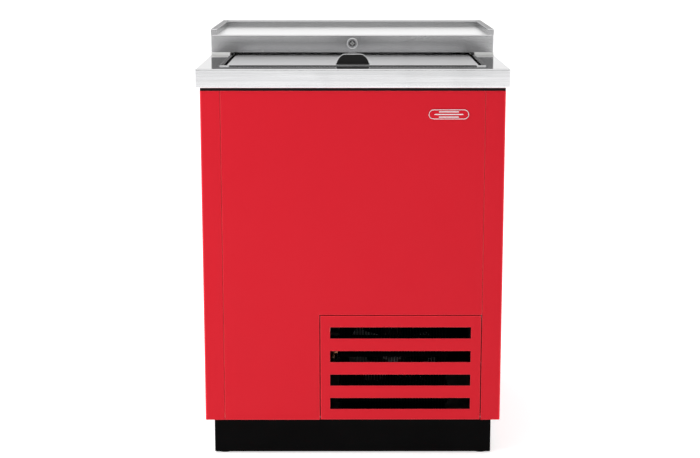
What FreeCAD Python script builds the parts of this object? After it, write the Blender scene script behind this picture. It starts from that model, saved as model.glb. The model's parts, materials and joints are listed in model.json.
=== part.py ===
import FreeCAD, Part
import math
import os

V = FreeCAD.Vector
UP = V(0, 0, 1)
BACK = V(0, 1, 0)
RIGHT = V(1, 0, 0)

# A bar-height chest cooler with a sliding lid. Millimetres, +Z up, the front faces -Y,
# and the origin is the middle of the footprint (with the rear bumpers) on the floor.

# Driving dimensions
TOP_W = 626.0            # countertop width
TOP_D = 674.0            # countertop depth, front apron to rear apron
BUMPER_D = 25.0          # how far the rear bumpers pass the countertop
BODY_W = 610.0           # painted cabinet width
APRON_INSET = 6.0        # cabinet skin behind the apron, front and rear
KICK_H = 84.0            # top of the black base
BODY_TOP = 768.0         # top of the painted cabinet
APRON_BOTTOM = 774.0     # lower edge of the countertop's apron
TOP_Z = 812.0            # countertop surface
LIP_H = 1.8              # raised lip beside the lid
SHELF_Z = 817.5          # underside of the raised rear shelf
SHELF_TOP = 856.0
RAIL_TOP = 869.5         # top of the gallery rail
SHELF_FRONT = 343.0      # shelf face, behind the apron's face
SHELF_BACK = 664.0
SHELF_HALF_W = 312.0

SKIN = 1.2               # painted and galvanised sheet
STAINLESS = 1.5          # countertop and shelf sheet
BEND_R = 2.5             # outside radius of a folded stainless edge
LINER = 1.0              # tub sheet

SEAM_X = 264.9           # joint between front panel and side panel
SEAM_GAP = 0.5
GRILLE_X = (-66.4, 263.2)
GRILLE_TOP = 306.0
GRILLE_GAP = 2.0
SLOT_X = (-46.6, 242.5)
SLOT_H = 24.0
SLOT_PITCH = 50.3
SLOTS = 4

OPENING_HALF_W = 262.0   # opening of the countertop, where the lid runs
OPENING_FRONT = 64.5
OPENING_BACK = 650.0
LID_HALF_W = 255.0
LID_FRONT = 66.5
LID_BACK = 360.0
LID_BOTTOM = 788.0
LID_TOP = 814.0
TRACK_LEDGE_Z = 785.0    # what the lid's glides run on
LINER_TOP = 782.0

WELL_HALF_W = 248.0      # inside of the tub
WELL_FRONT = 74.0
WELL_BACK = 610.0
DEEP_FLOOR = 134.0
SHALLOW_FLOOR = 352.0
SIDE_GAP = 0.3            # between parts that stand side by side in the opening
STEP_X = -122.0          # wall between the deep and the shallow floor
DECK_FRONT = 346.0       # fixed insulated deck behind the lid
DECK_BOTTOM = 742.0

MACHINE_X = -74.0        # left wall of the machine compartment
MACHINE_TOP = 309.5
FOAM_HALF_W = 303.5
FOAM_FRONT = 18.5
FOAM_BACK = 665.0

LOCK_Z = 837.0
LOCK_PLUG_R = 7.25
RUNNING_FIT = 0.05       # radial clearance of shafts and plugs

CFAN = (85.0, 198.0)     # condenser fan axis, X and Z
EFAN = (270.0, 500.0)    # evaporator fan axis, depth and Z
KNOB = (450.0, 596.0)    # thermostat axis, depth and Z
SHAFT_R = 4.0
KNOB_SHAFT_R = 3.0

PAN_TOP = KICK_H + 2 * SKIN
FRONT_Y = -(TOP_D + BUMPER_D) / 2
BODY_FRONT = APRON_INSET
BODY_BACK = TOP_D - APRON_INSET


def deep(depth):
    """Y of a place given as its depth behind the apron's front face."""
    return FRONT_Y + depth


def box(x, d, z):
    """Block between limits in X, in depth and in Z."""
    corner = V(x[0], deep(d[0]), z[0])
    return Part.makeBox(x[1] - x[0], d[1] - d[0], z[1] - z[0], corner)


def wide(half):
    return (-half, half)


def rod(radius, length, x, d, z, axis):
    return Part.makeCylinder(radius, length, V(x, deep(d), z), axis)


def fused(shapes):
    first, rest = shapes[0], shapes[1:]
    if not rest:
        return first
    return first.multiFuse(rest).removeSplitter()


def is_line_along(edge, axis):
    if not isinstance(edge.Curve, Part.Line):
        return False
    return edge.Curve.Direction.cross(axis).Length < 1e-6


def upright(edge):
    return is_line_along(edge, UP)


def edges_at_z(shape, z):
    return [e for e in shape.Edges if all(abs(v.Z - z) < 1e-3 for v in e.Vertexes)]


def edges_at_depth(shape, d):
    return [e for e in shape.Edges if all(abs(v.Y - deep(d)) < 1e-3 for v in e.Vertexes)]


def soft_block(x, d, z, radius):
    """Block with its upright and its top edges rounded."""
    block = box(x, d, z)
    edges = [e for e in block.Edges if upright(e)] + edges_at_z(block, z[1])
    return block.makeFillet(radius, edges)


def mirrored(shape):
    return shape.mirror(V(0, 0, 0), RIGHT)


def face_plate(points, d):
    """Flat outline of (X, Z) corners, extruded between two depths."""
    corners = [V(x, deep(d[0]), z) for x, z in points]
    wire = Part.makePolygon(corners + corners[:1])
    return Part.Face(wire).extrude(V(0, d[1] - d[0], 0))


def pipe(points, radius, bend):
    """Round tube of straight runs joined by tangent arcs, through (X, depth, Z) points."""
    path = [V(x, deep(d), z) for x, d, z in points]
    edges = []
    start = path[0]
    for before, corner, after in zip(path, path[1:], path[2:]):
        into = (corner - before).normalize()
        out = (after - corner).normalize()
        turn = into.getAngle(out)
        back_off = bend * math.tan(turn / 2)
        arc_start = corner - into * back_off
        arc_end = corner + out * back_off
        inward = (out - into).normalize()
        middle = corner + inward * (bend / math.cos(turn / 2) - bend)
        edges.append(Part.LineSegment(start, arc_start).toShape())
        edges.append(Part.Arc(arc_start, middle, arc_end).toShape())
        start = arc_end
    edges.append(Part.LineSegment(start, path[-1]).toShape())
    section = Part.Wire(Part.Circle(path[0], path[1] - path[0], radius).toShape())
    return Part.Wire(edges).makePipeShell([section], True, False)


def save(name, shape):
    shape.exportStep("parts/" + name + ".step")


# Painted cabinet

def side_panel():
    """Right side skin, folded round the front and the rear corner, with a top and a bottom flange."""
    flange_w = 16.0
    half = BODY_W / 2
    corner_r = 3.0
    inner_x = REAR_RETURN_X - flange_w
    block = box((SEAM_X, half), (BODY_FRONT, BODY_BACK), (KICK_H, BODY_TOP))
    outer_corners = [e for e in block.Edges if upright(e) and e.Vertexes[0].X > half - 1]
    block = block.makeFillet(corner_r, outer_corners)
    hollow = box((0, half - SKIN), (BODY_FRONT + SKIN, BODY_BACK - SKIN), (KICK_H + SKIN, BODY_TOP - SKIN))
    inner_corners = [e for e in hollow.Edges if upright(e) and e.Vertexes[0].X > half - 2 * SKIN]
    hollow = hollow.makeFillet(corner_r - SKIN, inner_corners)
    panel = block.cut(hollow)
    rear_cut = box((0, REAR_RETURN_X), (BODY_BACK - 2 * SKIN, BODY_BACK + 1), (0, TOP_Z))
    flange_cut = box((0, inner_x), (BODY_FRONT + 2 * SKIN, BODY_BACK), (0, TOP_Z))
    return panel.cut(rear_cut).cut(flange_cut).cut(screw_shanks())


def front_outline(inset):
    """Front panel outline: a rectangle with a notch at the lower right for the grille."""
    half = SEAM_X - SEAM_GAP - inset
    notch_x = GRILLE_X[0] - GRILLE_GAP - inset
    notch_z = GRILLE_TOP + GRILLE_GAP + inset
    low = KICK_H + inset
    high = BODY_TOP - inset
    return [(-half, low), (notch_x, low), (notch_x, notch_z), (half, notch_z), (half, high), (-half, high)]


def front_panel():
    fold = 12.0
    edge_r = 1.0
    panel = face_plate(front_outline(0), (BODY_FRONT, BODY_FRONT + fold))
    panel = panel.makeFillet(edge_r, edges_at_depth(panel, BODY_FRONT))
    return panel.cut(face_plate(front_outline(SKIN), (BODY_FRONT + SKIN, BODY_FRONT + fold + 1)))


def front_grille():
    """Lift-off service grille with four long air slots."""
    fold = 10.0
    edge_r = 1.0
    floor_gap = 0.6
    margin = 24.0
    z = (KICK_H + floor_gap, GRILLE_TOP)
    panel = box(GRILLE_X, (BODY_FRONT, BODY_FRONT + fold), z)
    panel = panel.makeFillet(edge_r, edges_at_depth(panel, BODY_FRONT))
    inner_x = (GRILLE_X[0] + SKIN, GRILLE_X[1] - SKIN)
    panel = panel.cut(box(inner_x, (BODY_FRONT + SKIN, BODY_FRONT + fold + 1), (z[0] + SKIN, z[1] - SKIN)))
    for index in range(SLOTS):
        slot_top = GRILLE_TOP - margin - index * SLOT_PITCH
        panel = panel.cut(box(SLOT_X, (0, BODY_FRONT + SKIN + 1), (slot_top - SLOT_H, slot_top)))
    return panel


CLIP_R = 4.0
CLIP_X = (-56.0, 252.8)
CLIP_Z = (100.0, 294.0)


def grille_clips():
    """Four round studs on the back of the grille, one per corner."""
    stud_l = 24.0
    shoulder_r = 6.0
    shoulder_l = 8.0
    studs = []
    for x in CLIP_X:
        for z in CLIP_Z:
            stud = rod(CLIP_R, stud_l, x, BODY_FRONT + SKIN, z, BACK)
            shoulder = rod(shoulder_r, shoulder_l, x, BODY_FRONT + SKIN, z, BACK)
            studs.append(stud.fuse(shoulder))
    return Part.makeCompound(studs)


def grille_mounts():
    """Two black upright bars behind the grille, drilled for its studs."""
    half_w = 8.0
    d = (FOAM_FRONT, FOAM_FRONT + 20.0)
    bars = []
    for x in CLIP_X:
        bar = box((x - half_w, x + half_w), d, (PAN_TOP, MACHINE_TOP - SKIN))
        for z in CLIP_Z:
            bar = bar.cut(rod(CLIP_R + RUNNING_FIT, d[1] - d[0], x, d[0], z, BACK))
        bars.append(bar)
    return Part.makeCompound(bars)


BACK_SHEET = (BODY_BACK - 2 * SKIN - 0.2, BODY_BACK - SKIN - 0.2)
GLAND = (-40.0, 118.0)
GLAND_R = 11.0


def back_panel():
    """Galvanised back with upright air slots over the machine compartment and the cord's hole."""
    slot_w = 8.0
    slot_pitch = 20.0
    slot_count = 14
    slot_z = (120.0, 280.0)
    first_x = 0.0
    reach = 1.0
    sheet = box(wide(FOAM_HALF_W - 1), BACK_SHEET, (KICK_H + SKIN, BODY_TOP - SKIN))
    cut_d = (BACK_SHEET[0] - reach, BACK_SHEET[1] + reach)
    for index in range(slot_count):
        x = first_x + index * slot_pitch
        sheet = sheet.cut(box((x, x + slot_w), cut_d, slot_z))
    hole = rod(GLAND_R, cut_d[1] - cut_d[0], GLAND[0], cut_d[0], GLAND[1], BACK)
    return sheet.cut(hole).cut(screw_shanks())


def cord_gland():
    """Black grommet in the back panel where the supply cord would leave."""
    flange_r = 16.0
    flange_l = 3.0
    bore_r = 5.0
    length = 14.0
    x, z = GLAND
    start = BACK_SHEET[0] - length / 2
    body = rod(GLAND_R, length, x, start, z, BACK)
    flange = rod(flange_r, flange_l, x, BACK_SHEET[1], z, BACK)
    bore = rod(bore_r, 2 * length, x, start - length / 2, z, BACK)
    return body.fuse(flange).cut(bore)


SCREW_X = (-294.0, -98.0, 98.0, 294.0)
SCREW_ROWS = (98.0, 326.0, 752.0)
REAR_RETURN_X = 285.0


def screw_seats():
    """Places of the back screws' heads: X, depth and Z."""
    seats = []
    for x in SCREW_X:
        depth = BODY_BACK if abs(x) > REAR_RETURN_X else BACK_SHEET[1]
        seats += [(x, depth, z) for z in SCREW_ROWS]
    return seats


def screw_shanks():
    """Shanks of the back screws, also the holes that they fill."""
    shank_r = 2.0
    shank_l = 10.0
    return fused([rod(shank_r, shank_l, x, d - shank_l, z, BACK) for x, d, z in screw_seats()])


def back_screws():
    """Pan-head screws that hold the back panel and the rear returns of the side panels."""
    head_r = 4.5
    head_l = 2.2
    head_edge = 1.2
    recess_l = 2.2
    recess_w = 0.4
    heads = []
    for x, d, z in screw_seats():
        head = rod(head_r, head_l, x, d, z, BACK)
        head = head.makeFillet(head_edge, edges_at_depth(head, d + head_l))
        recess_d = (d + head_l / 2, d + 2 * head_l)
        recess = box((x - recess_l, x + recess_l), recess_d, (z - recess_w, z + recess_w))
        heads.append(head.cut(recess).cut(turned(recess, x, z, 90.0)))
    return Part.makeCompound(heads).fuse(screw_shanks())


def turned(shape, x, z, degrees):
    """Copy of a shape turned about a front-to-back axis."""
    copy = shape.copy()
    copy.rotate(V(x, 0, z), BACK, degrees)
    return copy


BUMPER_Z = (190.0, 700.0)
BUMPER_X = 276.0


def rear_bumpers():
    """Four round rubber bumpers that keep the back off the wall."""
    base_r = 17.0
    tip_r = 13.0
    tip_edge = 2.0
    bumpers = []
    for x in (-BUMPER_X, BUMPER_X):
        for z in BUMPER_Z:
            length = TOP_D + BUMPER_D - BODY_BACK
            cone = Part.makeCone(base_r, tip_r, length, V(x, deep(BODY_BACK), z), BACK)
            bumpers.append(cone.makeFillet(tip_edge, edges_at_depth(cone, TOP_D + BUMPER_D)))
    return Part.makeCompound(bumpers)


def bottom_pan():
    """Galvanised floor sheet on the side panels' bottom flanges."""
    return box(wide(FOAM_HALF_W - 1), (FOAM_FRONT, FOAM_BACK), (KICK_H + SKIN, PAN_TOP))


# Base

KICK_HALF_W = 290.0
KICK_D = (40.0, 655.0)
FOOT_H = 3.0
FOOT_INSET = 21.0


def kick_frame():
    """Black base: four folded channels welded into a ring, flanges inward at top and bottom."""
    sheet = 2.0
    flange = 42.0
    corner_r = 4.0
    stem_hole_r = 5.3
    outer = box(wide(KICK_HALF_W), KICK_D, (FOOT_H, KICK_H))
    outer = outer.makeFillet(corner_r, [e for e in outer.Edges if upright(e)])
    hollow_d = (KICK_D[0] + sheet, KICK_D[1] - sheet)
    hollow = box(wide(KICK_HALF_W - sheet), hollow_d, (FOOT_H + sheet, KICK_H - sheet))
    middle_d = (KICK_D[0] + flange, KICK_D[1] - flange)
    middle = box(wide(KICK_HALF_W - flange), middle_d, (0, KICK_H + 1))
    frame = outer.cut(hollow).cut(middle)
    for x, d in foot_places():
        frame = frame.cut(rod(stem_hole_r, 3 * sheet, x, d, FOOT_H - sheet, UP))
    return frame


def foot_places():
    xs = (-KICK_HALF_W + FOOT_INSET, KICK_HALF_W - FOOT_INSET)
    depths = (KICK_D[0] + FOOT_INSET, KICK_D[1] - FOOT_INSET)
    return [(x, d) for x in xs for d in depths]


def levelling_feet():
    """Four low screw feet: pad, threaded stem and lock nut."""
    pad_r = 17.0
    pad_edge = 0.8
    stem_r = 5.0
    stem_l = 40.0
    nut_flats = 17.0
    nut_h = 8.0
    sheet = 2.0
    feet = []
    for x, d in foot_places():
        pad = rod(pad_r, FOOT_H, x, d, 0, UP)
        pad = pad.makeFillet(pad_edge, edges_at_z(pad, 0))
        stem = rod(stem_r, stem_l, x, d, FOOT_H - 1, UP)
        nut = hex_nut(nut_flats, nut_h, V(x, deep(d), FOOT_H + sheet), UP)
        feet.append(fused([pad, stem, nut]))
    return Part.makeCompound(feet)


def hex_nut(flats, height, centre, axis):
    """Six-sided prism along UP or BACK."""
    radius = flats / math.sqrt(3)
    side = RIGHT
    other = BACK if axis == UP else UP
    corners = []
    for step in range(6):
        angle = math.radians(60 * step)
        corners.append(centre + side * (radius * math.cos(angle)) + other * (radius * math.sin(angle)))
    return Part.Face(Part.makePolygon(corners + corners[:1])).extrude(axis * height)


# Countertop

LIP_W = 7.0
LIP_RETURN = 12.0


def opening(margin, z):
    """Block over the countertop's opening, grown by a margin."""
    return box(wide(OPENING_HALF_W + margin), (OPENING_FRONT - margin, OPENING_BACK + margin), z)


def countertop():
    """Stainless top: folded aprons with a bottom hem, the lid's opening, and raised side lips."""
    hem = 12.0
    hem_r = 2.0
    wall_bottom = TRACK_LEDGE_Z + 1.0
    lip_r = 1.2
    half = TOP_W / 2
    block = soft_block(wide(half), (0, TOP_D), (APRON_BOTTOM, TOP_Z), BEND_R)
    block = block.makeFillet(hem_r, edges_at_z(block, APRON_BOTTOM))
    hollow_d = (STAINLESS, TOP_D - STAINLESS)
    block = block.cut(box(wide(half - STAINLESS), hollow_d, (APRON_BOTTOM + STAINLESS, TOP_Z - STAINLESS)))
    hem_z = (APRON_BOTTOM - 1, APRON_BOTTOM + 2 * STAINLESS)
    block = block.cut(box(wide(half - hem), (hem, TOP_D - hem), hem_z))
    wall = opening(STAINLESS, (wall_bottom, TOP_Z - STAINLESS / 2))
    block = block.fuse(wall).cut(opening(0, (0, TOP_Z + 1)))
    lip_x = (OPENING_HALF_W, OPENING_HALF_W + LIP_W)
    lip = box(lip_x, (OPENING_FRONT - LIP_W, OPENING_BACK), (TOP_Z - STAINLESS / 2, TOP_Z + LIP_H))
    lip_end_x = (OPENING_HALF_W - LIP_RETURN, OPENING_HALF_W + LIP_W)
    lip_end_d = (OPENING_FRONT - LIP_W, OPENING_FRONT)
    lip = lip.fuse(box(lip_end_x, lip_end_d, (TOP_Z - STAINLESS / 2, TOP_Z + LIP_H))).removeSplitter()
    lip = lip.makeFillet(lip_r, edges_at_z(lip, TOP_Z + LIP_H))
    return block.multiFuse([lip, mirrored(lip)]).removeSplitter()


CORE_Z = (APRON_BOTTOM + STAINLESS + 0.3, TOP_Z - STAINLESS)
RING_MARGIN = 2.0


def countertop_core():
    """Rigid foam slab that stiffens the countertop round its opening."""
    block = box(wide(TOP_W / 2 - STAINLESS), (STAINLESS, TOP_D - STAINLESS), CORE_Z)
    return block.cut(opening(RING_MARGIN, (0, RAIL_TOP)))


def breaker_block(inset, z):
    return box(wide(BODY_W / 2 - inset), (BODY_FRONT + inset, BODY_BACK - inset), z)


def breaker_strip():
    """Black thermal break between the painted cabinet and the countertop."""
    reveal = 0.6
    plinth_inset = 9.0
    strip_top = APRON_BOTTOM - 0.2
    block = breaker_block(reveal, (BODY_TOP, strip_top))
    block = block.fuse(breaker_block(plinth_inset, (BODY_TOP, CORE_Z[0]))).removeSplitter()
    return block.cut(opening(RING_MARGIN, (0, RAIL_TOP)))


# Tub and insulation

def well_void(grow, top):
    """Inside of the stepped tub, grown outward by a sheet's thickness."""
    d = (WELL_FRONT - grow, WELL_BACK + grow)
    shallow = box(wide(WELL_HALF_W + grow), d, (SHALLOW_FLOOR - grow, top))
    low = box((-WELL_HALF_W - grow, STEP_X + grow), d, (DEEP_FLOOR - grow, top))
    return shallow.fuse(low).removeSplitter()


WELL_CORNER_R = 8.0
LINE_HOLES = [(214.0, 470.0, 6.0), (232.0, 500.0, 8.0)]


def through_holes():
    """Bores for the refrigerant lines and the drain, from the machine space into the tub."""
    below = 5.0
    above = 1.0
    low = MACHINE_TOP - below
    height = SHALLOW_FLOOR + above - low
    return fused([rod(r, height, x, d, low, UP) for x, d, r in LINE_HOLES])


def well_liner():
    """Stepped tub: deep on the left, shallow over the machine compartment, flanged at the rim."""
    flange = 11.0
    flange_d = (WELL_FRONT - flange, WELL_BACK + flange)
    outer = well_void(LINER, LINER_TOP)
    outer = outer.fuse(box(wide(OPENING_HALF_W - SIDE_GAP), flange_d, (LINER_TOP - LINER, LINER_TOP)))
    inner = well_void(0, LINER_TOP + 1)
    corners = [e for e in inner.Edges if upright(e) and abs(e.Vertexes[0].X) > WELL_HALF_W - 1]
    inner = inner.makeFillet(WELL_CORNER_R, corners)
    return outer.cut(inner).cut(through_holes()).removeSplitter()


def cabinet_foam():
    """Foamed-in-place insulation between the skins, the tub and the machine compartment."""
    block = box(wide(FOAM_HALF_W), (FOAM_FRONT, FOAM_BACK), (PAN_TOP, BODY_TOP - SKIN))
    block = block.cut(well_void(LINER, TOP_Z))
    machine_x = (MACHINE_X, FOAM_HALF_W + 1)
    block = block.cut(box(machine_x, (0, TOP_D), (0, MACHINE_TOP)))
    return block.cut(through_holes()).cut(screw_shanks())


def machine_partition():
    """Folded sheet: left wall and roof of the machine compartment."""
    d = (FOAM_FRONT, FOAM_BACK)
    block = box((MACHINE_X, FOAM_HALF_W), d, (PAN_TOP, MACHINE_TOP))
    hollow = box((MACHINE_X + SKIN, FOAM_HALF_W + 1), (0, TOP_D), (0, MACHINE_TOP - SKIN))
    return block.cut(hollow).cut(through_holes())


DECK_GAP = 0.5
DECK_X = wide(WELL_HALF_W - DECK_GAP)
DECK_D = (DECK_FRONT, WELL_BACK - DECK_GAP)


def rear_deck():
    """Skin of the fixed insulated deck that roofs the back half of the tub."""
    block = box(DECK_X, DECK_D, (DECK_BOTTOM, LINER_TOP))
    rear = [e for e in block.Edges if upright(e) and e.Vertexes[0].Y > deep(DECK_FRONT) + 1]
    return block.makeFillet(WELL_CORNER_R, rear).cut(deck_core(LINER))


def deck_core(inset):
    """Inside of the deck's skin, which its foam fills."""
    x = (DECK_X[0] + inset, DECK_X[1] - inset)
    d = (DECK_D[0] + inset, DECK_D[1] - inset)
    block = box(x, d, (DECK_BOTTOM + inset, LINER_TOP - inset))
    rear = [e for e in block.Edges if upright(e) and e.Vertexes[0].Y > deep(DECK_FRONT) + 2 * inset]
    return block.makeFillet(WELL_CORNER_R, rear)


# Lid and its tracks

TRACK_W = 19.0            # ledge and guide together, from the opening's wall inward

def lid_tracks():
    """Two black tracks: a ledge for the glides and an upright guide beside the lid."""
    guide_play = 1.0
    guide_drop = 12.0
    guide_x = (LID_HALF_W + guide_play, OPENING_HALF_W - SIDE_GAP)
    ledge_x = (OPENING_HALF_W - TRACK_W, OPENING_HALF_W - SIDE_GAP)
    d = (OPENING_FRONT + SIDE_GAP, OPENING_BACK - SIDE_GAP)
    guide_top = TOP_Z - guide_drop
    guide = box(guide_x, d, (LINER_TOP, guide_top))
    track = guide.fuse(box(ledge_x, d, (LINER_TOP, TRACK_LEDGE_Z))).removeSplitter()
    return Part.makeCompound([track, mirrored(track)])


def lid_seats():
    """Two black cross bars that the lid's gaskets close on."""
    bar_w = 14.0
    half = OPENING_HALF_W - TRACK_W - SIDE_GAP
    z = (LINER_TOP, TRACK_LEDGE_Z)
    front = box(wide(half), (OPENING_FRONT + SIDE_GAP, LID_FRONT + bar_w), z)
    rear = box(wide(half), (DECK_FRONT, DECK_FRONT + bar_w), z)
    return Part.makeCompound([front, rear])


def lid_block(inset, z):
    return box(wide(LID_HALF_W - inset), (LID_FRONT + inset, LID_BACK - inset), z)


def lid_shell():
    """Stainless lid skin: flat top with folded sides."""
    edge_r = 1.0
    block = soft_block(wide(LID_HALF_W), (LID_FRONT, LID_BACK), (LID_BOTTOM, LID_TOP), edge_r)
    return block.cut(lid_block(SKIN, (0, LID_TOP - SKIN)))


LID_LINER_T = 2.0


def lid_foam():
    return lid_block(SKIN, (LID_BOTTOM + LID_LINER_T, LID_TOP - SKIN))


def lid_liner():
    return lid_block(SKIN, (LID_BOTTOM, LID_BOTTOM + LID_LINER_T))


LID_RUN_GAP = 0.3


def lid_glides():
    """Low-friction strips under the lid's sides."""
    inset = 2.0
    width = 8.0
    end_inset = 4.0
    x = (LID_HALF_W - inset - width, LID_HALF_W - inset)
    d = (LID_FRONT + end_inset, LID_BACK - end_inset)
    strip = box(x, d, (TRACK_LEDGE_Z + LID_RUN_GAP, LID_BOTTOM))
    return Part.makeCompound([strip, mirrored(strip)])


def lid_gaskets():
    """Rubber strips under the lid's front and rear edges."""
    half = LID_HALF_W - 14.0
    inset = 3.0
    width = 8.0
    z = (TRACK_LEDGE_Z + LID_RUN_GAP, LID_BOTTOM)
    front = box(wide(half), (LID_FRONT + inset, LID_FRONT + inset + width), z)
    rear = box(wide(half), (LID_BACK - inset - width, LID_BACK - inset), z)
    return Part.makeCompound([front, rear])


HANDLE_D = (69.0, 79.0)
HANDLE_HALF_W = 35.0
HANDLE_H = 22.0


def lid_handle():
    """Half-moon pull standing on the lid's front edge, with a low foot in front of it."""
    corner_r = 20.5
    rim_r = 1.5
    foot_h = 3.0
    foot_r = 1.0
    toe = 3.0
    heel = 1.0
    d = HANDLE_D
    blade_d = (d[0] + toe, d[1] - heel)
    blade = box(wide(HANDLE_HALF_W), blade_d, (LID_TOP, LID_TOP + HANDLE_H))
    top_ends = [e for e in edges_at_z(blade, LID_TOP + HANDLE_H) if is_line_along(e, BACK)]
    blade = blade.makeFillet(corner_r, top_ends)
    rim = [e for face in (blade_d[0], blade_d[1]) for e in edges_at_depth(blade, face)]
    rim = [e for e in rim if e.BoundBox.ZMax > LID_TOP + 1]
    blade = blade.makeFillet(rim_r, rim)
    foot = soft_block(wide(HANDLE_HALF_W), d, (LID_TOP, LID_TOP + foot_h), foot_r)
    return blade.fuse(foot).removeSplitter()


STRIKE_D = (352.5, 355.0)


def lid_strike():
    """Folded tab on the lid that the lock's cam stands behind."""
    half_w = 9.0
    foot_back = LID_BACK - 1.0
    tab_top = 827.0
    sheet = 1.5
    tab = box(wide(half_w), STRIKE_D, (LID_TOP, tab_top))
    foot = box(wide(half_w), (STRIKE_D[0], foot_back), (LID_TOP, LID_TOP + sheet))
    return tab.fuse(foot).removeSplitter()


# Raised shelf, gallery rail and lock

RAIL_W = 14.5
RAIL_D = (SHELF_FRONT + 0.8, SHELF_BACK)
RAIL_FOOT = SHELF_TOP - 0.4     # the rail sits in a shallow step of the shelf
RAIL_SEAT_GAP = 0.3


def rail_footprint(half_w, back, width, z):
    """U-shaped block round the left, the back and the right of the shelf."""
    outer = box(wide(half_w), (RAIL_D[0], back), z)
    tray = box(wide(SHELF_HALF_W - width), (0, RAIL_D[1] - width), (z[0] - 1, z[1] + 1))
    return outer.cut(tray)


def shelf_box():
    """Stainless shelf over the lid's pocket: folded top, face, sides and back, open below."""
    hem = 8.0
    side_flange_x = OPENING_HALF_W + 4.0
    drill_l = 10.0
    d = (SHELF_FRONT, SHELF_BACK)
    block = soft_block(wide(SHELF_HALF_W), d, (SHELF_Z, SHELF_TOP), BEND_R)
    inner_d = (d[0] + STAINLESS, d[1] - STAINLESS)
    inner_z = (SHELF_Z + STAINLESS, SHELF_TOP - STAINLESS)
    block = block.cut(box(wide(SHELF_HALF_W - STAINLESS), inner_d, inner_z))
    block = block.cut(box(wide(side_flange_x), (d[0] + hem, d[1] - hem), (0, SHELF_Z + 2 * STAINLESS)))
    step_z = (RAIL_FOOT, SHELF_TOP + 1)
    block = block.cut(rail_footprint(SHELF_HALF_W, RAIL_D[1] + 1, RAIL_W + RAIL_SEAT_GAP, step_z))
    return block.cut(rod(LOCK_BARREL_R, drill_l, 0, d[0] - drill_l / 2, LOCK_Z, BACK))


LOCK_BARREL_R = 9.5


def shelf_spacers():
    """White bars that carry the shelf on both sides of the lid's pocket."""
    lip_gap = 0.5
    edge_r = 0.8
    x = (OPENING_HALF_W + LIP_W + lip_gap, SHELF_HALF_W)
    block = soft_block(x, (SHELF_FRONT, SHELF_BACK), (TOP_Z, SHELF_Z), edge_r)
    return Part.makeCompound([block, mirrored(block)])


def shelf_rail():
    """Gallery rail: one folded stainless channel round the left, the back and the right."""
    edge_r = 3.2
    rail = rail_footprint(SHELF_HALF_W, RAIL_D[1], RAIL_W, (RAIL_FOOT, RAIL_TOP))
    rail = rail.makeFillet(edge_r, edges_at_z(rail, RAIL_TOP))
    side_x = (SHELF_HALF_W - RAIL_W + SKIN, SHELF_HALF_W - SKIN)
    inner_z = (RAIL_FOOT - 1, RAIL_TOP - SKIN)
    side = box(side_x, (RAIL_D[0] + SKIN, RAIL_D[1] - SKIN), inner_z)
    back_d = (RAIL_D[1] - RAIL_W + SKIN, RAIL_D[1] - SKIN)
    rear = box(wide(SHELF_HALF_W - SKIN), back_d, inner_z)
    return rail.cut(fused([side, mirrored(side), rear]))


BEZEL_L = 2.6
BARREL_BACK = 356.0


def lock_body():
    """Lock barrel with a turned bezel on the shelf's face."""
    bezel_r = 12.0
    bezel_edge = 1.2
    dish_l = 1.6
    dish_flare = 2.4
    x, z = 0.0, LOCK_Z
    front = SHELF_FRONT - BEZEL_L
    bezel = rod(bezel_r, BEZEL_L, x, front, z, BACK)
    bezel = bezel.makeFillet(bezel_edge, edges_at_depth(bezel, front))
    dish = Part.makeCone(LOCK_PLUG_R + dish_flare, LOCK_PLUG_R, dish_l, V(x, deep(front), z), BACK)
    barrel = rod(LOCK_BARREL_R, BARREL_BACK - SHELF_FRONT, x, SHELF_FRONT, z, BACK)
    bore = rod(LOCK_PLUG_R + RUNNING_FIT, BARREL_BACK - front + 2, x, front - 1, z, BACK)
    return bezel.fuse(barrel).removeSplitter().cut(dish).cut(bore)


def lock_nut():
    flats = 25.0
    height = 4.0
    start = SHELF_FRONT + STAINLESS
    nut = hex_nut(flats, height, V(0, deep(start), LOCK_Z), BACK)
    return nut.cut(rod(LOCK_BARREL_R, 3 * height, 0, start - height, LOCK_Z, BACK))


CAM_D = (357.0, 359.5)
PLUG_TAIL_R = 3.0


def lock_plug():
    """Turning plug with a ring keyway, a centre post and four small pins."""
    x, z = 0.0, LOCK_Z
    recess = 0.8
    post_r = 2.6
    keyway_r = 4.6
    keyway_l = 3.0
    pin_ring_r = 5.7
    pin_r = 0.6
    pin_l = 1.0
    tail_past_cam = 2.0
    front = SHELF_FRONT - BEZEL_L + recess
    plug = rod(LOCK_PLUG_R, CAM_D[0] - front, x, front, z, BACK)
    post = rod(post_r, keyway_l, x, front, z, BACK)
    plug = plug.cut(rod(keyway_r, keyway_l, x, front, z, BACK).cut(post))
    pins = []
    for index in range(4):
        angle = math.radians(90 * index)
        pin_x = x + pin_ring_r * math.cos(angle)
        pin_z = z + pin_ring_r * math.sin(angle)
        pins.append(rod(pin_r, pin_l, pin_x, front - pin_l / 2, pin_z, BACK))
    tail = rod(PLUG_TAIL_R, CAM_D[1] - CAM_D[0] + tail_past_cam, x, CAM_D[0], z, BACK)
    return fused([plug, tail] + pins)


def lock_cam():
    """Flat cam, level to the right while the lock is open."""
    length = 20.0
    half_w = 5.0
    eye_r = 7.0
    drill_l = 10.0
    blade = box((0, length), CAM_D, (LOCK_Z - half_w, LOCK_Z + half_w))
    eye = rod(eye_r, CAM_D[1] - CAM_D[0], 0, CAM_D[0], LOCK_Z, BACK)
    hole = rod(PLUG_TAIL_R, drill_l, 0, CAM_D[0] - drill_l / 2, LOCK_Z, BACK)
    return blade.fuse(eye).removeSplitter().cut(hole)


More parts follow.
